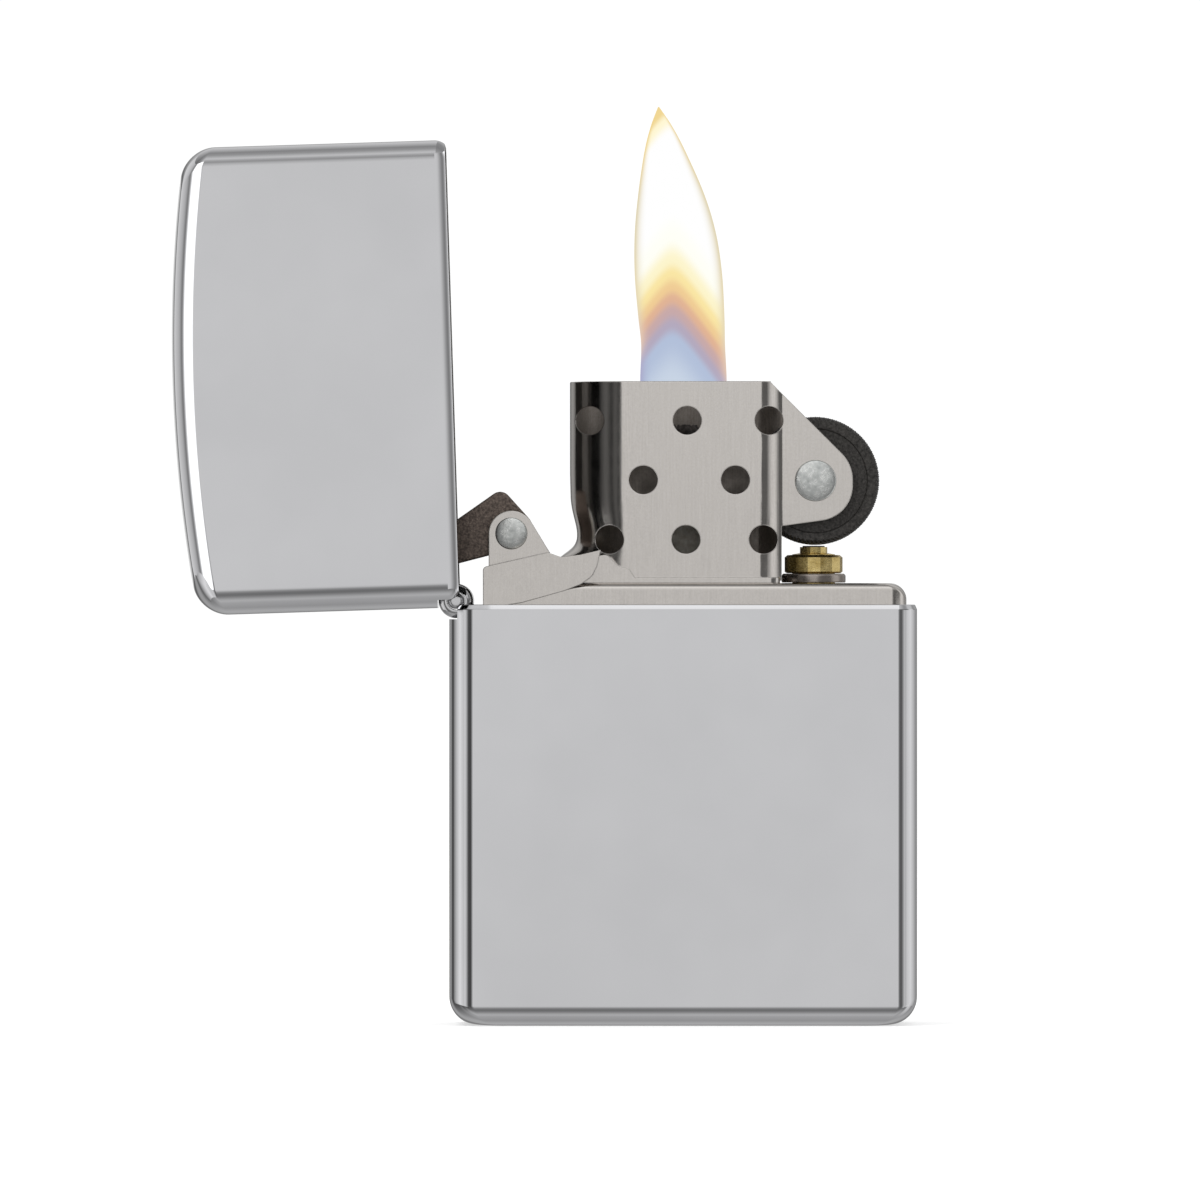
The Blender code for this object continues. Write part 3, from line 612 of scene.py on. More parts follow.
def shell(half_x, half_y, height, corners, end_round, face_round, wall, lip, bulge=0.0, dome=0.0, columns=8):
    """A drawn tub, mouth at z = 0 and closed end at +z. The closed end bows along X, and domes across Y."""

    def skin(inset, mouth):
        ends = end_round - inset
        faces = max(face_round - inset, 0.35)
        inner = [max(corner - inset, 0.3) for corner in corners]
        rings = [shell_ring(half_x - inset - trim, half_y - inset - trim, [corner - trim for corner in inner],
                            columns, lambda x, y, share, z=z: z) for trim, z in mouth]

        def cap(x, y):
            return height - inset - bulge * (x / half_x) ** 2 - (y * y / (2 * dome) if dome else 0.0)

        for step in range(ROUND_STEPS + 1):
            turn = math.pi / 2 * step / ROUND_STEPS
            rise = 1 - math.sin(turn)
            run = 1 - math.cos(turn)

            def level(x, y, share):
                return cap(x, y) - rise * (ends * share + faces * (1 - share))

            rings.append(shell_ring(half_x - inset - run * ends, half_y - inset - run * faces,
                                    inner, columns, level))
        if dome:
            reach = half_y - inset - faces
            for step in range(1, 6):
                shrink = reach * step / 5.2
                rings.append(shell_ring(half_x - inset - ends - shrink, reach - shrink, inner, columns,
                                        lambda x, y, share: cap(x, y)))
        return rings

    outer = skin(0.0, lip)
    inner = skin(wall, [(0.0, 0.0)])
    shape, loops = loft(outer[::-1] + inner)
    strip_cap(shape, loops[0])
    outside = (len(outer) - 1) * len(loops[0])
    count = len(loops[0]) // 2 - 1
    strip_cap(shape, loops[-1])
    shape.faces.ensure_lookup_table()
    for index, face in enumerate(shape.faces):
        on_first_cap = len(shape.faces) - 2 * count <= index < len(shape.faces) - count
        face.material_index = 0 if index < outside or on_first_cap else 1
    return shape


# The mouth's edge: a narrow flat top, then a bright chamfer of 24 degrees that runs out into the wall.
LIP = [(0.24, 0.0), (0.19, 0.01), (0.155, 0.035), (0.145, 0.055), (0.012, 0.355), (0.004, 0.39), (0.0, 0.44)]


# The lid's mouth rolls in along an arc instead.
LID_LIP_RADIUS = 1.3
LID_LIP_TURN = 39.7
LID_LIP_REACH = LID_LIP_RADIUS * math.sin(math.radians(LID_LIP_TURN)) + 0.03


def lid_lip():
    lip = [(0.34, 0.0), (0.31, 0.01)]
    for step in range(11):
        turn = math.radians(LID_LIP_TURN * (1 - step / 10))
        lip.append((LID_LIP_RADIUS * (1 - math.cos(turn)), LID_LIP_REACH - LID_LIP_RADIUS * math.sin(turn)))
    return lip


def make_case(finish):
    corners = (HINGE_SIDE_CORNER, FAR_SIDE_CORNER)
    shape = shell(CASE_HALF_WIDTH, CASE_HALF_DEPTH, RIM_Z, corners, END_ROUND, BOTTOM_FACE_ROUND,
                  SHELL_WALL, LIP)
    bmesh.ops.rotate(shape, verts=shape.verts, cent=(0, 0, 0), matrix=Matrix.Rotation(math.pi, 3, "X"))
    shifted(shape, (0, 0, RIM_Z))
    notch = block((-CASE_HALF_WIDTH - 1, -NOTCH_HALF, HINGE_Z - NOTCH_REACH),
                  (NOTCH_INNER_X, NOTCH_HALF, RIM_Z + 1))
    piece("outer_case", shape, "case", finish, ["case_body"], [("DIFFERENCE", notch)], sharp=50)


def make_lid(finish):
    mouth = RIM_Z + LID_GAP - HINGE_Z
    corners = (HINGE_SIDE_CORNER, FAR_SIDE_CORNER)
    shape = shell(CASE_HALF_WIDTH, CASE_HALF_DEPTH, LID_HEIGHT, corners, END_ROUND, CROWN_FACE_ROUND,
                  SHELL_WALL, lid_lip(), CROWN_BULGE, CROWN_DOME_RADIUS, 24)
    shifted(shape, (-HINGE_X, 0, mouth))
    notch = block((-CASE_HALF_WIDTH - 1 - HINGE_X, -NOTCH_HALF, mouth - 1),
                  (NOTCH_INNER_X - HINGE_X, NOTCH_HALF, NOTCH_REACH))
    return piece("outer_lid", shape, "lid", finish, ["case_lid"], [("DIFFERENCE", notch)],
                 LID_PLACE, sharp=50)


# Lid hinge -----------------------------------------------------------------------------------------


def knuckle_spans():
    """The (low, high) Y of the five knuckles, front to back."""
    pitch = 2 * BARREL_HALF / 5
    return [(-BARREL_HALF + pitch * k, -BARREL_HALF + pitch * (k + 1) - KNUCKLE_GAP) for k in range(5)]


KNUCKLE_OUTER_ROUND = 0.55
KNUCKLE_INNER_ROUND = 0.12


def knuckle(low, high):
    """One rolled knuckle along Y, rounded deeply at the barrel's ends and slightly inside it."""
    low, high = -high, -low  # along_y turns heights over
    outermost = BARREL_HALF - 2 * KNUCKLE_GAP
    rounds = [KNUCKLE_OUTER_ROUND if abs(end) > outermost else KNUCKLE_INNER_ROUND for end in (low, high)]
    turns = [math.pi / 2 * step / 10 for step in range(11)]
    profile = [(KNUCKLE_RADIUS - rounds[0] * (1 - math.sin(turn)), low + rounds[0] * (1 - math.cos(turn)))
               for turn in turns]
    profile += [(KNUCKLE_RADIUS - rounds[1] * (1 - math.cos(turn)), high - rounds[1] * (1 - math.sin(turn)))
                for turn in turns]
    return along_y(lathe(profile), (0.0, 0.0))


def hinge_leaf(name, node, spans, length, upward, body, finish, place):
    """A plate with rolled knuckles on the axis; it hangs down, or stands up when upward."""
    sign = 1 if upward else -1
    outline = [(-LEAF_HALF_WIDTH, sign * length), (-LEAF_HALF_WIDTH, sign * LEAF_START)]
    for low, high in spans:
        low = max(low, -LEAF_HALF_WIDTH + 0.01)
        high = min(high, LEAF_HALF_WIDTH - 0.01)
        outline += [(low, sign * LEAF_START), (low, sign * TAB_END),
                    (high, sign * TAB_END), (high, sign * LEAF_START)]
    outline += [(LEAF_HALF_WIDTH, sign * LEAF_START), (LEAF_HALF_WIDTH, sign * length)]
    rolls = merge([knuckle(low, high) for low, high in spans])
    hole = prism(circle(PIN_HOLE, 32), -BARREL_HALF - 1, BARREL_HALF + 1)
    piece(name, prism(outline, LEAF_INNER, LEAF_OUTER, "X"), body, finish, [node],
          [("UNION", rolls), ("DIFFERENCE", hole)], place, level=True)


def make_hinge(finish):
    spans = knuckle_spans()
    at = Matrix.Translation((HINGE_X * MM, 0, HINGE_Z * MM))
    hinge_leaf("hinge_leaf_lower", "case_hinge_leaf", spans[0::2], CASE_LEAF_LENGTH, False, "case",
               finish, at)
    hinge_leaf("hinge_leaf_upper", "lid_hinge_leaf", spans[1::2], LID_LEAF_LENGTH, True, "lid",
               finish, LID_PLACE)
    half = BARREL_HALF
    profile = [(0.3, -half), (0.5, -half + 0.04), (PIN_RADIUS, -half + 0.2), (PIN_RADIUS, half - 0.2),
               (0.5, half - 0.04), (0.3, half)]
    rod = along_y(lathe(profile, 32), (HINGE_X, HINGE_Z))
    piece("hinge_rod", rod, "case", finish, ["hinge_pin"])


# Insert --------------------------------------------------------------------------------------------


def make_can(finish):
    centre = (CAN_LEFT + CAN_RIGHT) / 2
    lip = [(0.05, 0.0), (0.015, 0.015), (0.0, 0.05)]
    shape = shell((CAN_RIGHT - CAN_LEFT) / 2, CAN_HALF_DEPTH, DECK_Z - CAN_BOTTOM, (CAN_CORNER, CAN_CORNER),
                  CAN_END_ROUND, CAN_FACE_ROUND, CAN_WALL, lip)
    shifted(shape, (centre, 0, CAN_BOTTOM))
    holes = [(WICK_HOLE, 0.0), (TUBE_RADIUS + 0.08, TUBE_X), (SPRING_RIVET + 0.06, SPRING_RIVET_X)]
    shapes = [prism(circle(radius, 40, (x, 0.0)), DECK_Z - 2, DECK_Z + 1, "Z") for radius, x in holes]
    piece("fuel_can", shape, "insert", finish, ["insert_case"],
          [("DIFFERENCE", merge(shapes))], sharp=50)


def screen_path():
    """Middle line of the windscreen sheet seen from above, from the front ear round to the back ear."""
    middle = SCREEN_HALF_DEPTH - SCREEN_SHEET / 2
    ear = EAR_HALF_GAP + SCREEN_SHEET / 2
    front = [Vector((EAR_TIP, -ear))]
    for step in range(17):
        share = step / 16
        x = SCREEN_RIGHT + (SCREEN_BEND_START - SCREEN_RIGHT) * share
        front.append(Vector((x, -ear - (middle - ear) * (1 - math.cos(math.pi * share)) / 2)))
    bow = 0.10
    bow_start = 3.0
    for step in range(13):
        x = bow_start + (SCREEN_LEFT_CENTRE - bow_start) * step / 12
        front.append(Vector((x, -middle + bow * (step / 12) ** 2)))
    quick = 2 / 1.8
    for step in range(1, 33):
        turn = math.pi / 2 * step / 32
        front.append(Vector((SCREEN_LEFT_CENTRE - middle * math.sin(turn) ** quick,
                             (bow - middle) * math.cos(turn) ** quick)))
    return front + [Vector((point.x, -point.y)) for point in reversed(front[:-1])]


def left_end_share(height):
    """How far the rounded left end reaches at a height: a slight waist, then a flared foot."""
    waist = math.exp(-((height - WAIST_Z) / 2.0) ** 2)
    foot = math.exp(-((height - FOOT_Z) / 0.9) ** 2)
    return 1 - WAIST_SHARE * waist + FOOT_SHARE * foot


def screen_ring(height, half):
    path = screen_path()
    sides = ([], [])
    for index, here in enumerate(path):
        along = path[min(index + 1, len(path) - 1)] - path[max(index - 1, 0)]
        outward = Vector((along.y, -along.x)).normalized()
        for side, offset in zip(sides, (half, -half)):
            point = here - outward * offset
            if point.x < SCREEN_LEFT_CENTRE:
                point.x = SCREEN_LEFT_CENTRE + (point.x - SCREEN_LEFT_CENTRE) * left_end_share(height)
            side.append((point.x, point.y, height))
    return sides[0] + sides[1][::-1]


def ear_outline_cut():
    """Everything right of the windscreen that isn't the wheel ear, as one outline."""
    tip = WHEEL_X + EAR_RADIUS
    corners = [(7.15, 60, 0), (20, 60, 0), (20, 30, 0), (8.05, 30, 0), (8.05, WHEEL_Z - 3.71, 0),
               (tip, WHEEL_Z - 2.9, 2.9), (tip, WHEEL_Z + 1.32, 3.05), (7.15, WHEEL_Z + 8.02, 0)]
    return rounded(corners, 20)


def make_windscreen(finish):
    half = SCREEN_SHEET / 2
    steps = 44
    bottom = 36.25
    waist_end = 43.0
    heights = [bottom + (waist_end - bottom) * step / steps for step in range(steps + 1)]
    heights += [45.0, 47.5, 50.0, SCREEN_TOP - 0.08]
    rings = [screen_ring(height, half) for height in heights]
    rings += [screen_ring(SCREEN_TOP - 0.025, half - 0.025), screen_ring(SCREEN_TOP, half - 0.09)]
    shape, loops = loft(rings)
    strip_cap(shape, loops[0])
    strip_cap(shape, loops[-1])
    bmesh.ops.recalc_face_normals(shape, faces=shape.faces)
    # Faces turned into the chimney get the darker second material: soot, and painted shade of the hollow.
    for face in shape.faces:
        spot = face.calc_center_median()
        outward = Vector((spot.x - max(SCREEN_LEFT_CENTRE, min(spot.x, SCREEN_RIGHT - 3)), spot.y))
        face.material_index = 1 if outward.dot(face.normal.xy) < -0.2 * outward.length else 0
    bmesh.ops.dissolve_limit(shape, angle_limit=math.radians(0.02), verts=shape.verts, edges=shape.edges,
                             delimit={"MATERIAL"})
    left, right, deep, low, high = BASE_PLATE
    plate = rounded([(left, -deep, 0.8), (right, -deep, 0.8), (right, deep, 0.8), (left, deep, 0.8)])
    depth = 8
    cuts = [prism(circle(WICK_HOLE), low - 1, high + 1, "Z")]
    for vents, (near, far) in ((FRONT_VENTS, (-depth, 0)), (BACK_VENTS, (0, depth))):
        for height, places in vents.items():
            cuts += [prism(circle(VENT_RADIUS, 40, (x, height)), near, far) for x in places]
    bore = prism(circle(WHEEL_RIVET + 0.05, 40, (WHEEL_X, WHEEL_Z)), -depth, depth)
    apron = rounded([(-9.3, low, 0), (-9.3, 37.3, 0.5), (-7.3, 38.25, 0.8), (-6.2, 38.35, 0.5),
                     (-5.35, 37.45, 0.5), (-4.4, 37.2, 0.6), (-3.9, 36.45, 0.3), (-3.9, low, 0)], 6)
    inner = 4.05
    aprons = merge([prism(apron, -deep, -inner), prism(apron, inner, deep)])
    tools = [("UNION", prism(plate, low, high, "Z")), ("UNION", aprons), ("DIFFERENCE", merge(cuts)),
             ("DIFFERENCE", prism(ear_outline_cut(), -depth, depth)), ("DIFFERENCE", bore)]
    piece("chimney", shape, "insert", finish, ["windscreen"], tools, sharp=30, level=True)


def bracket_outline():
    """Side outline of the cam bracket: sloped top, and a skirt edge that falls away to the left."""
    edge = [(-15.1, 34.1), (-13.1, 34.45), (-11.4, 34.92), (-9.7, 35.4), (-8.3, 35.95), (-7.4, 36.6)]
    corners = [(-16.3, 33.7, 0)] + [(x, z, 1.2) for x, z in edge]
    corners += [(-7.0, 37.4, 0.5), (-6.7, 38.75, 0), (-8.4, 38.35, 1.5), (-9.9, 38.15, 1.0),
                (-10.6, 38.4, 0.3), (-11.0, 38.55, 0.1), (-16.3, 37.35, 0.35)]
    return rounded(corners, 6)


def cam_ear_outline():
    left = CAM_X - CAM_EAR_RADIUS
    top = CAM_Z + CAM_EAR_RADIUS
    right = CAM_X + 0.577 * CAM_EAR_RADIUS
    corners = [(left, 37.3, 0), (-10.6, 38.2, 0), (-10.78, 38.4, 0), (right, top, CAM_EAR_RADIUS),
               (left, top, CAM_EAR_RADIUS)]
    return rounded(corners, 20)


def make_bracket(finish):
    sheet = BRACKET_SHEET
    room = [(-16.3 + sheet, 30, 0), (-5, 30, 0), (-5, 38.75, 0), (-6.7, 38.4, 0), (-8.4, 38.0, 1.5),
            (-9.9, 37.8, 1.0), (-11.0, 38.2, 0), (-16.3 + sheet, 37.36 - sheet, 0)]
    foot_room = 0.14
    deep = SCREEN_HALF_DEPTH + foot_room
    reach = deep * left_end_share(38.1)
    outline = [Vector((0.0, deep))]
    for step in range(49):
        turn = math.pi / 2 + math.pi * step / 48
        outline.append(Vector((SCREEN_LEFT_CENTRE + reach * math.cos(turn), deep * math.sin(turn))))
    outline.append(Vector((0.0, -deep)))
    ears = merge([prism(cam_ear_outline(), CAM_EAR_INNER, CAM_EAR_OUTER),
                  prism(cam_ear_outline(), -CAM_EAR_OUTER, -CAM_EAR_INNER)])
    tools = [("DIFFERENCE", prism(rounded(room), -BRACKET_INNER_HALF, BRACKET_INNER_HALF)),
             ("DIFFERENCE", prism(outline, 30, 45, "Z")),
             ("DIFFERENCE", block((-15.85, -CAM_EAR_INNER, 36), (-10.72, CAM_EAR_INNER, 45))),
             ("UNION", ears),
             ("DIFFERENCE", prism(circle(CAM_RIVET + 0.05, 32, (CAM_X, CAM_Z)), -4, 4))]
    shape = prism(bracket_outline(), -BRACKET_HALF, BRACKET_HALF)
    piece("saddle", shape, "insert", finish, ["cam_bracket"], tools, bevel=0.17, sharp=40)


def make_cam(finish):
    corners = [(-0.79, 3.7, 0.9), (1.75, 0.9, 1.2), (1.4, -1.7, 1.2), (-1.9, -1.8, 0.3), (-6.0, -2.87, 1.3),
               (-6.0, 0.05, 1.3)]
    bore = prism(circle(CAM_BORE, 32), -4, 4)
    place = Matrix.Translation((CAM_X * MM, 0, CAM_Z * MM))
    piece("cam_lever", prism(rounded(corners, 14), -CAM_HALF, CAM_HALF), "cam", finish, ["cam"],
          [("DIFFERENCE", bore)], place, bevel=0.16)


def make_rivet(name, node, shank, head, reach, head_height, centre, finish):
    """A rivet along Y whose flat heads have a rounded shoulder and a slight crown."""
    side = reach + head_height * 0.5
    half = [(shank, reach), (head - 0.04, reach), (head, reach + 0.05), (head, side)]
    shoulder = 0.16
    for step in range(1, 7):
        turn = math.radians(84) * step / 6
        half.append((head - shoulder * (1 - math.cos(turn)), side + shoulder * math.sin(turn)))
    crown = side + shoulder
    half += [(head * share, crown + 0.1 * (1 - share ** 2)) for share in (0.8, 0.6, 0.4, 0.2)]
    profile = [(radius, -height) for radius, height in reversed(half)] + half
    piece(name, along_y(lathe(profile, 56), centre), "insert", finish, [node])


def make_wheel(finish):
    """Slanted file teeth on the rim, cut across by rings, between two plain chamfers."""
    rows = 26
    around = WHEEL_TEETH * 6
    slant = 2.2
    rings = []
    for row in range(rows + 1):
        across = -1 + 2 * row / rows
        inside = 1 - max(0.0, abs(across) - 0.86) / 0.14 * 0.055
        ringed = 0.05 * (0.5 + 0.5 * math.cos(math.pi * 9 * across))
        ring = []
        for step in range(around):
            turn = 2 * math.pi * step / around
            wave = (turn * WHEEL_TEETH / (2 * math.pi) + slant * across) % 1.0
            tooth = min(wave / 0.7, (1 - wave) / 0.3)
            cut = (WHEEL_TOOTH_DEPTH * (1 - tooth) + ringed) * (1 if abs(across) < 0.93 else 0.8)
            radius = WHEEL_RADIUS * inside - cut
            ring.append((radius * math.cos(turn), radius * math.sin(turn), WHEEL_HALF * across))
        rings.append(ring)
    turns = [2 * math.pi * step / around for step in range(around)]
    dished = WHEEL_HALF - 0.12
    side = [(4.3, WHEEL_HALF), (4.2, dished), (2.4, dished), (2.3, WHEEL_HALF), (WHEEL_BORE, WHEEL_HALF)]
    for radius, height in side:
        rings.append([(radius * math.cos(turn), radius * math.sin(turn), height) for turn in turns])
        rings.insert(0, [(radius * math.cos(turn), radius * math.sin(turn), -height) for turn in turns])
    shape, _ = loft(rings, join_ends=True)
    piece("spark_wheel", along_y(shape, (WHEEL_X, WHEEL_Z)), "flint_wheel", finish,
          ["flint_wheel"], sharp=25)


def make_collar(brass, steel):
    hole = TUBE_RADIUS + 0.06
    outer = rounded([(p.x, p.y, 0.05) for p in circle(COLLAR_RADIUS, COLLAR_FACETS)], 3)
    rings = []
    levels = [(0.93, COLLAR_BOTTOM), (1.0, COLLAR_BOTTOM + 0.13), (1.0, COLLAR_TOP - 0.2), (0.9, COLLAR_TOP)]
    for share, height in levels:
        rings.append([(p.x * share, p.y * share, height) for p in outer])
    bore = circle(hole, len(outer))
    rings.append([(p.x, p.y, COLLAR_TOP) for p in bore])
    rings.append([(p.x, p.y, COLLAR_BOTTOM) for p in bore])
    shape, _ = loft(rings, join_ends=True)
    piece("faceted_collar", shifted(shape, (TUBE_X, 0, 0)), "insert", brass, ["tube_collar"],
          sharp=18)
    washer = FLANGE_RADIUS
    low = DECK_Z + 0.05
    high = COLLAR_BOTTOM - 0.03
    profile = [(washer - 0.06, low), (washer, low + 0.06), (washer, high - 0.2), (washer - 0.05, high - 0.08),
               (washer - 0.15, high), (hole, high), (hole, low)]
    piece("collar_washer", shifted(lathe(profile, 56, hollow=True), (TUBE_X, 0, 0)), "insert", steel,
          ["tube_flange"])


def make_wick_piece(finish):
    """Three-strand braid, loosened and charred ragged at the top."""
    rows = 150
    around = 48
    rings = []
    for row in range(rows + 1):
        height = WICK_BOTTOM + (WICK_TOP - WICK_BOTTOM) * row / rows
        fray = max(0.0, (height - WICK_TOP + 1.6) / 1.6)
        end = min(1.0, (height - WICK_BOTTOM) / 0.5 + 0.6)
        ring = []
        for step in range(around):
            turn = 2 * math.pi * step / around
            weave = math.cos(4 * turn + height * 2.4) * math.cos(4 * turn - height * 2.4)
            rough = noise.noise(Vector((math.cos(turn) * 2, math.sin(turn) * 2, height * 1.3)))
            radius = WICK_RADIUS * 0.93 + 0.07 * weave + 0.05 * rough
            radius = radius * end * (1 - 0.25 * fray ** 2) + fray * 0.22 * rough
            drop = fray * 0.5 * noise.noise(Vector((math.cos(turn) * 4, math.sin(turn) * 4, 7.0)))
            top = min(height + min(drop, 0.0), WICK_TOP)
            ring.append((radius * math.cos(turn), radius * math.sin(turn), top))
        rings.append(ring)
    shape, loops = loft(rings)
    shape.faces.new(loops[0])
    centre = shape.verts.new((0, 0, WICK_TOP - 0.7))
    for index, point in enumerate(loops[-1]):
        shape.faces.new((point, loops[-1][(index + 1) % around], centre))
    piece("braided_wick", shape, "insert", finish, ["wick"], sharp=80)


def dress_nodes(dressing):
    """Gives the CAD pieces that stay their finished materials."""
    for finish, names in dressing.items():
        for name in names:
            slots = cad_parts[name].material_slots
            for index in range(len(slots)):
                slots[index].material = finish


def build_pieces():
    chrome = (make_chrome(), make_inside())
    screen = make_steel("satin_sheet", (0.605, 0.575, 0.545), 0.05, 0.10, 0.16, 0.0025)
    # Darker sheet for the chimney's inside: soot, and painted shade of its hollow.
    soot_and_shade = make_steel("soot_and_shade_sheet", (0.30, 0.27, 0.245), 0.2, 0.3, 0.55, 0.003)
    hinge = make_steel("hinge_sheet", (0.62, 0.62, 0.63), 0.06, 0.08, 0.16, 0.002)
    rivet_metal = make_mottled("rivet_metal", (0.52, 0.54, 0.53), (0.80, 0.81, 0.79), 0.45, 0.22, 0.40, 0.02)
    wheel_metal = make_mottled("blackened_steel", (0.018, 0.017, 0.016), (0.075, 0.07, 0.065), 0.22,
                               0.4, 0.65, 0.03, 0.6)
    cam_metal = make_mottled("tempered_steel", (0.06, 0.048, 0.042), (0.24, 0.19, 0.16), 0.2, 0.35, 0.6,
                             0.03, 0.75)
    washer_metal = make_steel("washer_sheet", (0.38, 0.34, 0.31), 0.08, 0.2, 0.35, 0.003)
    brass = make_brass()
    make_case(chrome)
    lid = make_lid(chrome)
    make_hinge(hinge)
    make_can(screen)
    make_windscreen((screen, soot_and_shade))
    make_bracket(screen)
    make_cam(cam_metal)
    make_rivet("cam_rivet_heads", "cam_rivet", CAM_RIVET, CAM_RIVET_HEAD, CAM_EAR_OUTER + 0.03, 0.4,
               (CAM_X, CAM_Z), rivet_metal)
    make_rivet("wheel_rivet_heads", "wheel_rivet", WHEEL_RIVET, WHEEL_RIVET_HEAD,
               EAR_HALF_GAP + SCREEN_SHEET + 0.03, 0.45, (WHEEL_X, WHEEL_Z), rivet_metal)
    make_wheel(wheel_metal)
    make_collar(brass, washer_metal)
    make_wick_piece(make_wick())
    dress_nodes({
        brass: ["flint_tube", "flint_screw"],
        screen: ["cam_spring", "flint_spring", "flint_plunger"],
        rivet_metal: ["cam_spring_rivet"],
        make_flint(): ["flint"],
        make_cotton("cotton_wadding", (0.82, 0.80, 0.75), 0.9): [f"cotton_ball_{i}" for i in range(1, 6)],
        make_cotton("pressed_felt", (0.62, 0.60, 0.56), 0.5): ["felt_pad"],
    })
    return lid


# Stage: flame, floor, reflector cards, sky, camera ---------------------------------------------------


def stage_mesh(name, shape, finish, place=HERE):
    made = object_from(name, shape, place)
    made.data.shade_smooth()
    made.data.materials.append(finish)
    return made


def flame_material():
    """A bright body that glows gold at its rim, orange low down and blue at its foot."""
    made = bpy.data.materials.new("flame")
    made.use_nodes = True
    tree = made.node_tree
    tree.nodes.clear()

    def node(kind, **values):
        new = tree.nodes.new(kind)
        for key, value in values.items():
            new.inputs[key].default_value = value
        return new

    place = node("ShaderNodeTexCoord")
    split = node("ShaderNodeSeparateXYZ")
    tree.links.new(place.outputs["Object"], split.inputs["Vector"])
    aside = math_node(tree, "ADD", split.outputs["X"], FLAME_AXIS * MM)
    blunt = math_node(tree, "ADD", math_node(tree, "MULTIPLY", aside, aside), (FLAME_BLUNT * MM) ** 2)
    away = math_node(tree, "SUBTRACT", math_node(tree, "SQRT", blunt), FLAME_BLUNT * MM)
    lowered = math_node(tree, "MULTIPLY", away, FLAME_SLOPE)
    height = math_node(tree, "ADD", split.outputs["Z"], lowered)
    share = math_node(tree, "DIVIDE", math_node(tree, "SUBTRACT", height, SCREEN_TOP * MM), FLAME_HEIGHT * MM)
    body = ramp_node(tree, share, FLAME_BODY, "EASE")
    rim = ramp_node(tree, share, FLAME_RIM, "EASE")
    facing = node("ShaderNodeLayerWeight", Blend=0.5)
    edge = ramp_node(tree, facing.outputs["Facing"], FLAME_EDGE, "EASE")
    glow = node("ShaderNodeEmission", Strength=1.0)
    tree.links.new(mix_node(tree, edge, body, rim), glow.inputs["Color"])
    out = node("ShaderNodeOutputMaterial")
    tree.links.new(glow.outputs["Emission"], out.inputs["Surface"])
    return made


# The colours rise in a blunt cone about an axis left of the middle, in millimetres.
FLAME_AXIS = 0.88
FLAME_BLUNT = 0.8
FLAME_SLOPE = 1.35
FLAME_HEIGHT = 22.5
FLAME_HALF_DEPTH = 3.5
# Share of the flame's height, and linear colour there.
FLAME_BODY = [(0.0, (0.58, 0.66, 0.78)), (0.155, (0.45, 0.53, 0.70)), (0.205, (0.456, 0.402, 0.515)),
              (0.255, (0.578, 0.402, 0.402)), (0.30, (0.753, 0.456, 0.305)), (0.34, (0.871, 0.61, 0.305)),
              (0.39, (0.956, 0.791, 0.376)), (0.44, (0.982, 0.913, 0.61)), (0.52, (1.0, 1.0, 0.93)),
              (0.62, (1.0, 1.0, 1.0)), (0.90, (1.0, 1.0, 1.0)), (0.96, (1.0, 0.93, 0.66)),
              (1.0, (0.88, 0.68, 0.30))]
FLAME_RIM = [(0.0, (0.33, 0.40, 0.63)), (0.16, (0.42, 0.42, 0.60)), (0.27, (0.75, 0.56, 0.45)),
             (0.42, (0.80, 0.70, 0.47)), (0.75, (0.74, 0.66, 0.46)), (1.0, (0.87, 0.66, 0.27))]
# How the rim's colour grows as the surface turns away.
FLAME_EDGE = [(0.30, (0.0, 0.0, 0.0)), (0.86, (1.0, 1.0, 1.0))]
# Height, left edge and right edge of the flame.
FLAME_SIDES = [(51.6, -3.3, 3.4), (52.6, -3.48, 3.59), (55.5, -3.40, 3.46), (57.9, -3.65, 3.41),
               (61.3, -3.93, 3.22),
               (64.6, -3.93, 2.73), (67.8, -3.65, 1.78), (71.25, -3.15, 0.27), (73.4, -2.62, -0.86),
               (75.0, -2.02, -1.94)]


def make_flame():
    smooth = []
    for index, (here, after) in enumerate(zip(FLAME_SIDES, FLAME_SIDES[1:])):
        before = FLAME_SIDES[max(index - 1, 0)]
        beyond = FLAME_SIDES[min(index + 2, len(FLAME_SIDES) - 1)]
        for step in range(6):
            t = step / 6
            smooth.append([0.5 * (2 * b + (c - a) * t + (2 * a - 5 * b + 4 * c - d) * t ** 2
                                  + (3 * b - a - 3 * c + d) * t ** 3)
                           for a, b, c, d in zip(before, here, after, beyond)])
    smooth.append(FLAME_SIDES[-1])
    rings = []
    for height, left, right in smooth:
        middle = (left + right) / 2
        half = (right - left) / 2
        deep = min(half, FLAME_HALF_DEPTH)
        rings.append([(middle + half * p.x, deep * p.y, height) for p in circle(1.0, 64)])
    shape, loops = loft(rings)
    shape.faces.new(loops[0])
    shape.faces.new(loops[-1])
    flame = stage_mesh("flame", shape, flame_material())
    flame.visible_shadow = False
    flame.visible_glossy = False
    flame.visible_diffuse = False
    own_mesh(flame)


def make_floor():
    made = Finish("pale_floor", (0.6, 0.6, 0.6), 0.9, 0.0)
    made.colour(made.noise(20.0, 2.0), (0.59, 0.59, 0.59), (0.61, 0.61, 0.61))
    made.shader.inputs["Emission Color"].default_value = (1.0, 1.0, 1.0, 1.0)
    made.shader.inputs["Emission Strength"].default_value = FLOOR_GLOW
    floor = stage_mesh("floor", prism(circle(900.0, 96, (0.0, 0.0)), -4.0, 0.0, "Z"), made.material)
    floor.visible_glossy = False


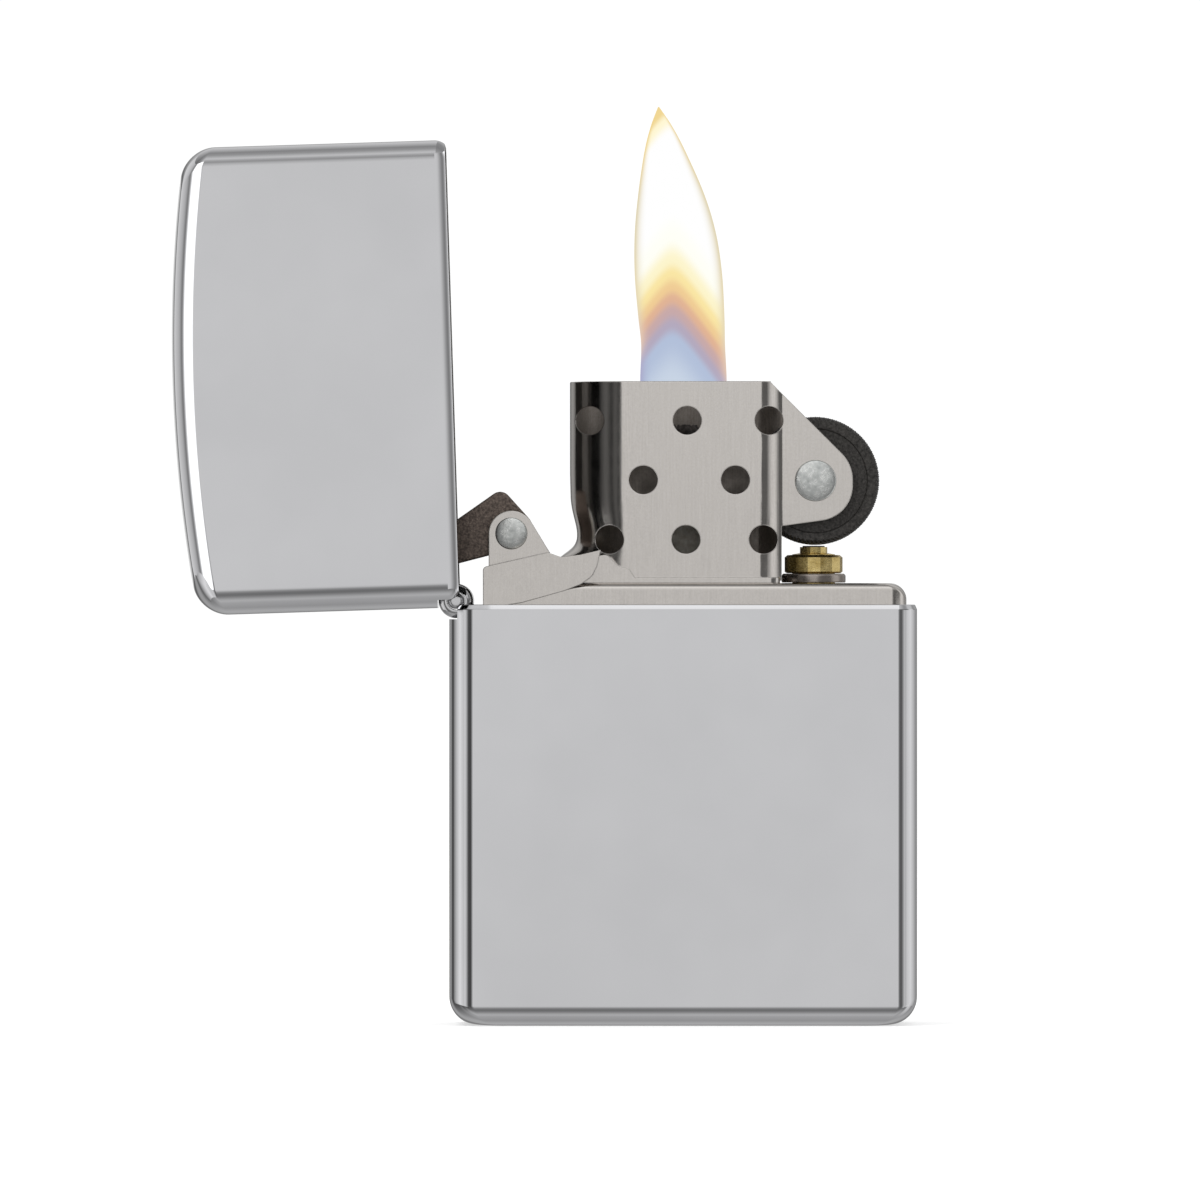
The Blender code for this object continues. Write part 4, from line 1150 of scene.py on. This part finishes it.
def make_card(name, centre, radius, stops, ends, level=False, place=HERE, lit=None):
    """A curved reflector, seen only in reflections. Stops are (degrees from -Y, light).

    It bends round an upright line through centre (x, y), positive degrees towards +X, between two
    heights; or, when level, round a line along X through centre (y, z), positive degrees upwards,
    between two X values.
    If lit is given, only that piece sees its light, and the others see it black.
    """
    bearings = []
    for (start, first), (end, last) in zip(stops, stops[1:]):
        steps = max(1, round(abs(end - start) / 3))
        bearings += [(start + (end - start) * step / steps, first + (last - first) * step / steps)
                     for step in range(steps)]
    bearings.append(stops[-1])
    shape = bmesh.new()
    columns = []
    for bearing, light in bearings:
        turn = math.radians(bearing)
        across = radius * math.sin(turn)
        ahead = radius * math.cos(turn)
        if level:
            spots = [(end, centre[0] - ahead, centre[1] + across) for end in ends]
        else:
            spots = [(centre[0] + across, centre[1] - ahead, end) for end in ends]
        columns.append([shape.verts.new(spot) for spot in spots])
    for before, after in zip(columns, columns[1:]):
        shape.faces.new((before[0], after[0], after[1], before[1]))
    made = bpy.data.materials.new(name)
    made.use_nodes = True
    tree = made.node_tree
    tree.nodes.clear()
    lights = tree.nodes.new("ShaderNodeAttribute")
    lights.attribute_name = "light"
    glow = tree.nodes.new("ShaderNodeEmission")
    tree.links.new(lights.outputs["Fac"], glow.inputs["Strength"])
    out = tree.nodes.new("ShaderNodeOutputMaterial")
    tree.links.new(glow.outputs["Emission"], out.inputs["Surface"])
    card = stage_mesh(name, shape, made, place)
    values = card.data.attributes.new("light", "FLOAT", "POINT").data
    for index, (_, light) in enumerate(bearings):
        values[2 * index].value = light
        values[2 * index + 1].value = light
    card.visible_camera = False
    card.visible_diffuse = False
    card.visible_shadow = False
    card.visible_transmission = False
    if lit:
        seers = bpy.data.collections.new(name + "_seers")
        seers.objects.link(lit)
        card.light_linking.receiver_collection = seers


# The brightest light a grey ramp can hold.
PEAK = 2.0
BACKDROP_LIGHT = 1.04
FLOOR_GLOW = 0.48


def grey_ramp(tree, bearing, stops):
    """Light by bearing: stops are (degrees from -Y, light)."""
    greys = [(degrees / 180, (light / PEAK,) * 3) for degrees, light in stops]
    return ramp_node(tree, bearing, greys)


# Studio light as seen in reflections: (degrees from -Y, light), towards each side of the picture.
TO_LEFT = [(0, FACE_GREY), (7, FACE_GREY), (12, 0.30), (18, 0.05), (28, 0.12), (36, 0.03), (48, 0.14),
           (60, 0.04), (74, 0.20), (86, 0.10), (120, 0.07), (136, 0.40), (148, 0.40), (160, 0.06),
           (168, 0.30), (173, FACE_GREY), (180, FACE_GREY)]
TO_RIGHT = [(0, FACE_GREY), (7, FACE_GREY), (12, 0.30), (18, 0.14), (62, 0.14), (72, 0.5), (80, 0.95),
            (100, 0.80), (112, 0.30), (136, 0.40), (148, 0.40), (160, 0.06), (168, 0.30),
            (173, FACE_GREY), (180, FACE_GREY)]
UPWARDS = [(0, FACE_GREY), (7, 0.78), (19, 0.60), (28, 0.41), (38, 0.54), (48, 0.78), (59, 0.60),
           (70, 0.43), (88, 0.34), (102, 0.51), (118, 0.68), (140, 0.80), (152, 0.41), (161, 0.60),
           (173, 0.78), (180, FACE_GREY)]
DOWNWARDS = [(0, FACE_GREY), (6, 0.70), (12, 0.40), (20, 0.24), (28, 0.22), (36, 0.32), (46, 0.50),
             (54, 0.60), (66, 0.50), (80, 0.46), (95, 0.42), (122, 0.56), (145, 0.48), (152, 0.25),
             (160, 0.25), (172, 0.70), (180, FACE_GREY)]
# Cards beside the case's two upright edges.
CASE_LEFT_CARD = [(-26, 0.05), (-30, 0.22), (-34, 0.46), (-39, 0.72), (-44, 0.87), (-49, 0.75), (-60, 0.87),
                  (-70, 1.02), (-81, 0.83), (-94, 0.59), (-101, 0.42), (-112, 0.15)]
CASE_RIGHT_CARD = [(26, 0.12), (30, 0.22), (43, 0.70), (49, 0.61), (61, 0.83), (83, 0.96), (109, 0.66),
                   (125, 0.47)]
# Cards for the lid's crown and for the arc of its mouth; only the lid sees them lit.
CROWN_CARD = [(-3.5, 0.9), (-7, 1.4), (-11, 2.0), (-50, 2.0), (-57, 1.6), (-63, 0.8), (-69, 0.4), (-75, 0.26),
              (-82, 0.40), (-92, 0.58), (-105, 0.68), (-120, 0.76), (-135, 0.82), (-150, 0.82)]
MOUTH_CARD = [(21, FACE_GREY), (8, 0.80), (-3, 0.76), (-14, 0.64), (-28, 0.47), (-42, 0.33), (-54, 0.27),
              (-63, 0.36), (-71, 0.58), (-78, 0.95), (-85, 1.5), (-125, 1.5)]
# A card overhead, for the case's rim and the insert's shoulders.
ABOVE_CARD = [(6, FACE_GREY), (20, 0.85), (38, 1.0), (46, 1.2), (52, 1.2), (60, 0.85), (72, 0.42), (85, 0.30),
              (100, 0.35), (120, 0.6)]


def make_world():
    """Plain white to the camera and to matt surfaces; graded greys, by bearing, in reflections."""
    world = bpy.data.worlds.new("studio")
    bpy.context.scene.world = world
    world.use_nodes = True
    tree = world.node_tree
    tree.nodes.clear()
    place = tree.nodes.new("ShaderNodeTexCoord")
    split = tree.nodes.new("ShaderNodeSeparateXYZ")
    tree.links.new(place.outputs["Generated"], split.inputs["Vector"])
    x, y, z = (split.outputs[name] for name in "XYZ")
    ahead = math_node(tree, "MULTIPLY", y, -1.0)
    bearing = math_node(tree, "DIVIDE", math_node(tree, "ARCCOSINE", ahead), math.pi)
    left, right, above, below = (grey_ramp(tree, bearing, stops)
                                 for stops in (TO_LEFT, TO_RIGHT, UPWARDS, DOWNWARDS))
    sideways = mix_node(tree, math_node(tree, "GREATER_THAN", x, 0.0), left, right)
    upright = mix_node(tree, math_node(tree, "GREATER_THAN", z, 0.0), below, above)
    tall = math_node(tree, "MULTIPLY", z, z)
    radius = math_node(tree, "ADD", math_node(tree, "MULTIPLY", x, x), tall)
    share = math_node(tree, "DIVIDE", tall, math_node(tree, "MAXIMUM", radius, 1e-5))
    seen = tree.nodes.new("ShaderNodeBackground")
    seen.inputs["Strength"].default_value = PEAK
    tree.links.new(mix_node(tree, share, sideways, upright), seen.inputs["Color"])
    plain = tree.nodes.new("ShaderNodeBackground")
    plain.inputs["Color"].default_value = (1.0, 1.0, 1.0, 1.0)
    plain.inputs["Strength"].default_value = BACKDROP_LIGHT
    path = tree.nodes.new("ShaderNodeLightPath")
    chosen = tree.nodes.new("ShaderNodeMixShader")
    tree.links.new(path.outputs["Is Glossy Ray"], chosen.inputs["Fac"])
    tree.links.new(plain.outputs["Background"], chosen.inputs[1])
    tree.links.new(seen.outputs["Background"], chosen.inputs[2])
    out = tree.nodes.new("ShaderNodeOutputWorld")
    tree.links.new(chosen.outputs["Shader"], out.inputs["Surface"])


def make_cards(lid):
    edge = CASE_HALF_WIDTH - 0.7
    mouth = RIM_Z + LID_GAP - HINGE_Z
    make_card("card_case_left", (-edge, -5.8), 65.0, CASE_LEFT_CARD, (-12.0, 34.3))
    make_card("card_case_right", (edge, -5.8), 40.0, CASE_RIGHT_CARD, (-12.0, 34.3))
    make_card("card_crown", (-41.2, -5.6), 18.0, CROWN_CARD, (33.8, 84.0), lit=lid)
    make_card("card_mouth", (-5.95, mouth + LID_LIP_REACH / 2), 1.2, MOUTH_CARD, (0.5, 37.2), True,
              LID_PLACE, lid)
    make_card("card_above", (-5.0, 36.0), 60.0, ABOVE_CARD, (-16.5, 30.0), True)


def make_lamp(name, place, size, power):
    data = bpy.data.lights.new(name, "AREA")
    data.shape = "DISK"
    data.size = size
    data.energy = power
    lamp = bpy.data.objects.new(name, data)
    lamp.location = place
    lamp.rotation_euler = (Vector((0, 0, 0.03)) - Vector(place)).to_track_quat("-Z", "Y").to_euler()
    lamp.visible_glossy = False
    lamp.visible_camera = False
    bpy.context.scene.collection.objects.link(lamp)


def make_camera():
    data = bpy.data.cameras.new("camera")
    data.lens = LENS
    data.sensor_width = SENSOR
    data.clip_start = 0.01
    data.clip_end = 30.0
    camera = bpy.data.objects.new("camera", data)
    distance = VIEW_WIDTH * LENS / SENSOR
    camera.location = (VIEW_CENTRE[0] * MM, (FOCUS_PLANE_Y - distance) * MM, VIEW_CENTRE[1] * MM)
    camera.rotation_euler = (math.pi / 2, 0, 0)
    bpy.context.scene.collection.objects.link(camera)
    bpy.context.scene.camera = camera


def build_stage(lid):
    make_flame()
    make_floor()
    make_cards(lid)
    make_world()
    make_lamp("soft_key", (-0.25, -0.35, 0.5), 0.3, 1.2)
    make_camera()
    bpy.context.scene.view_settings.view_transform = "Standard"


build_stage(build_pieces())
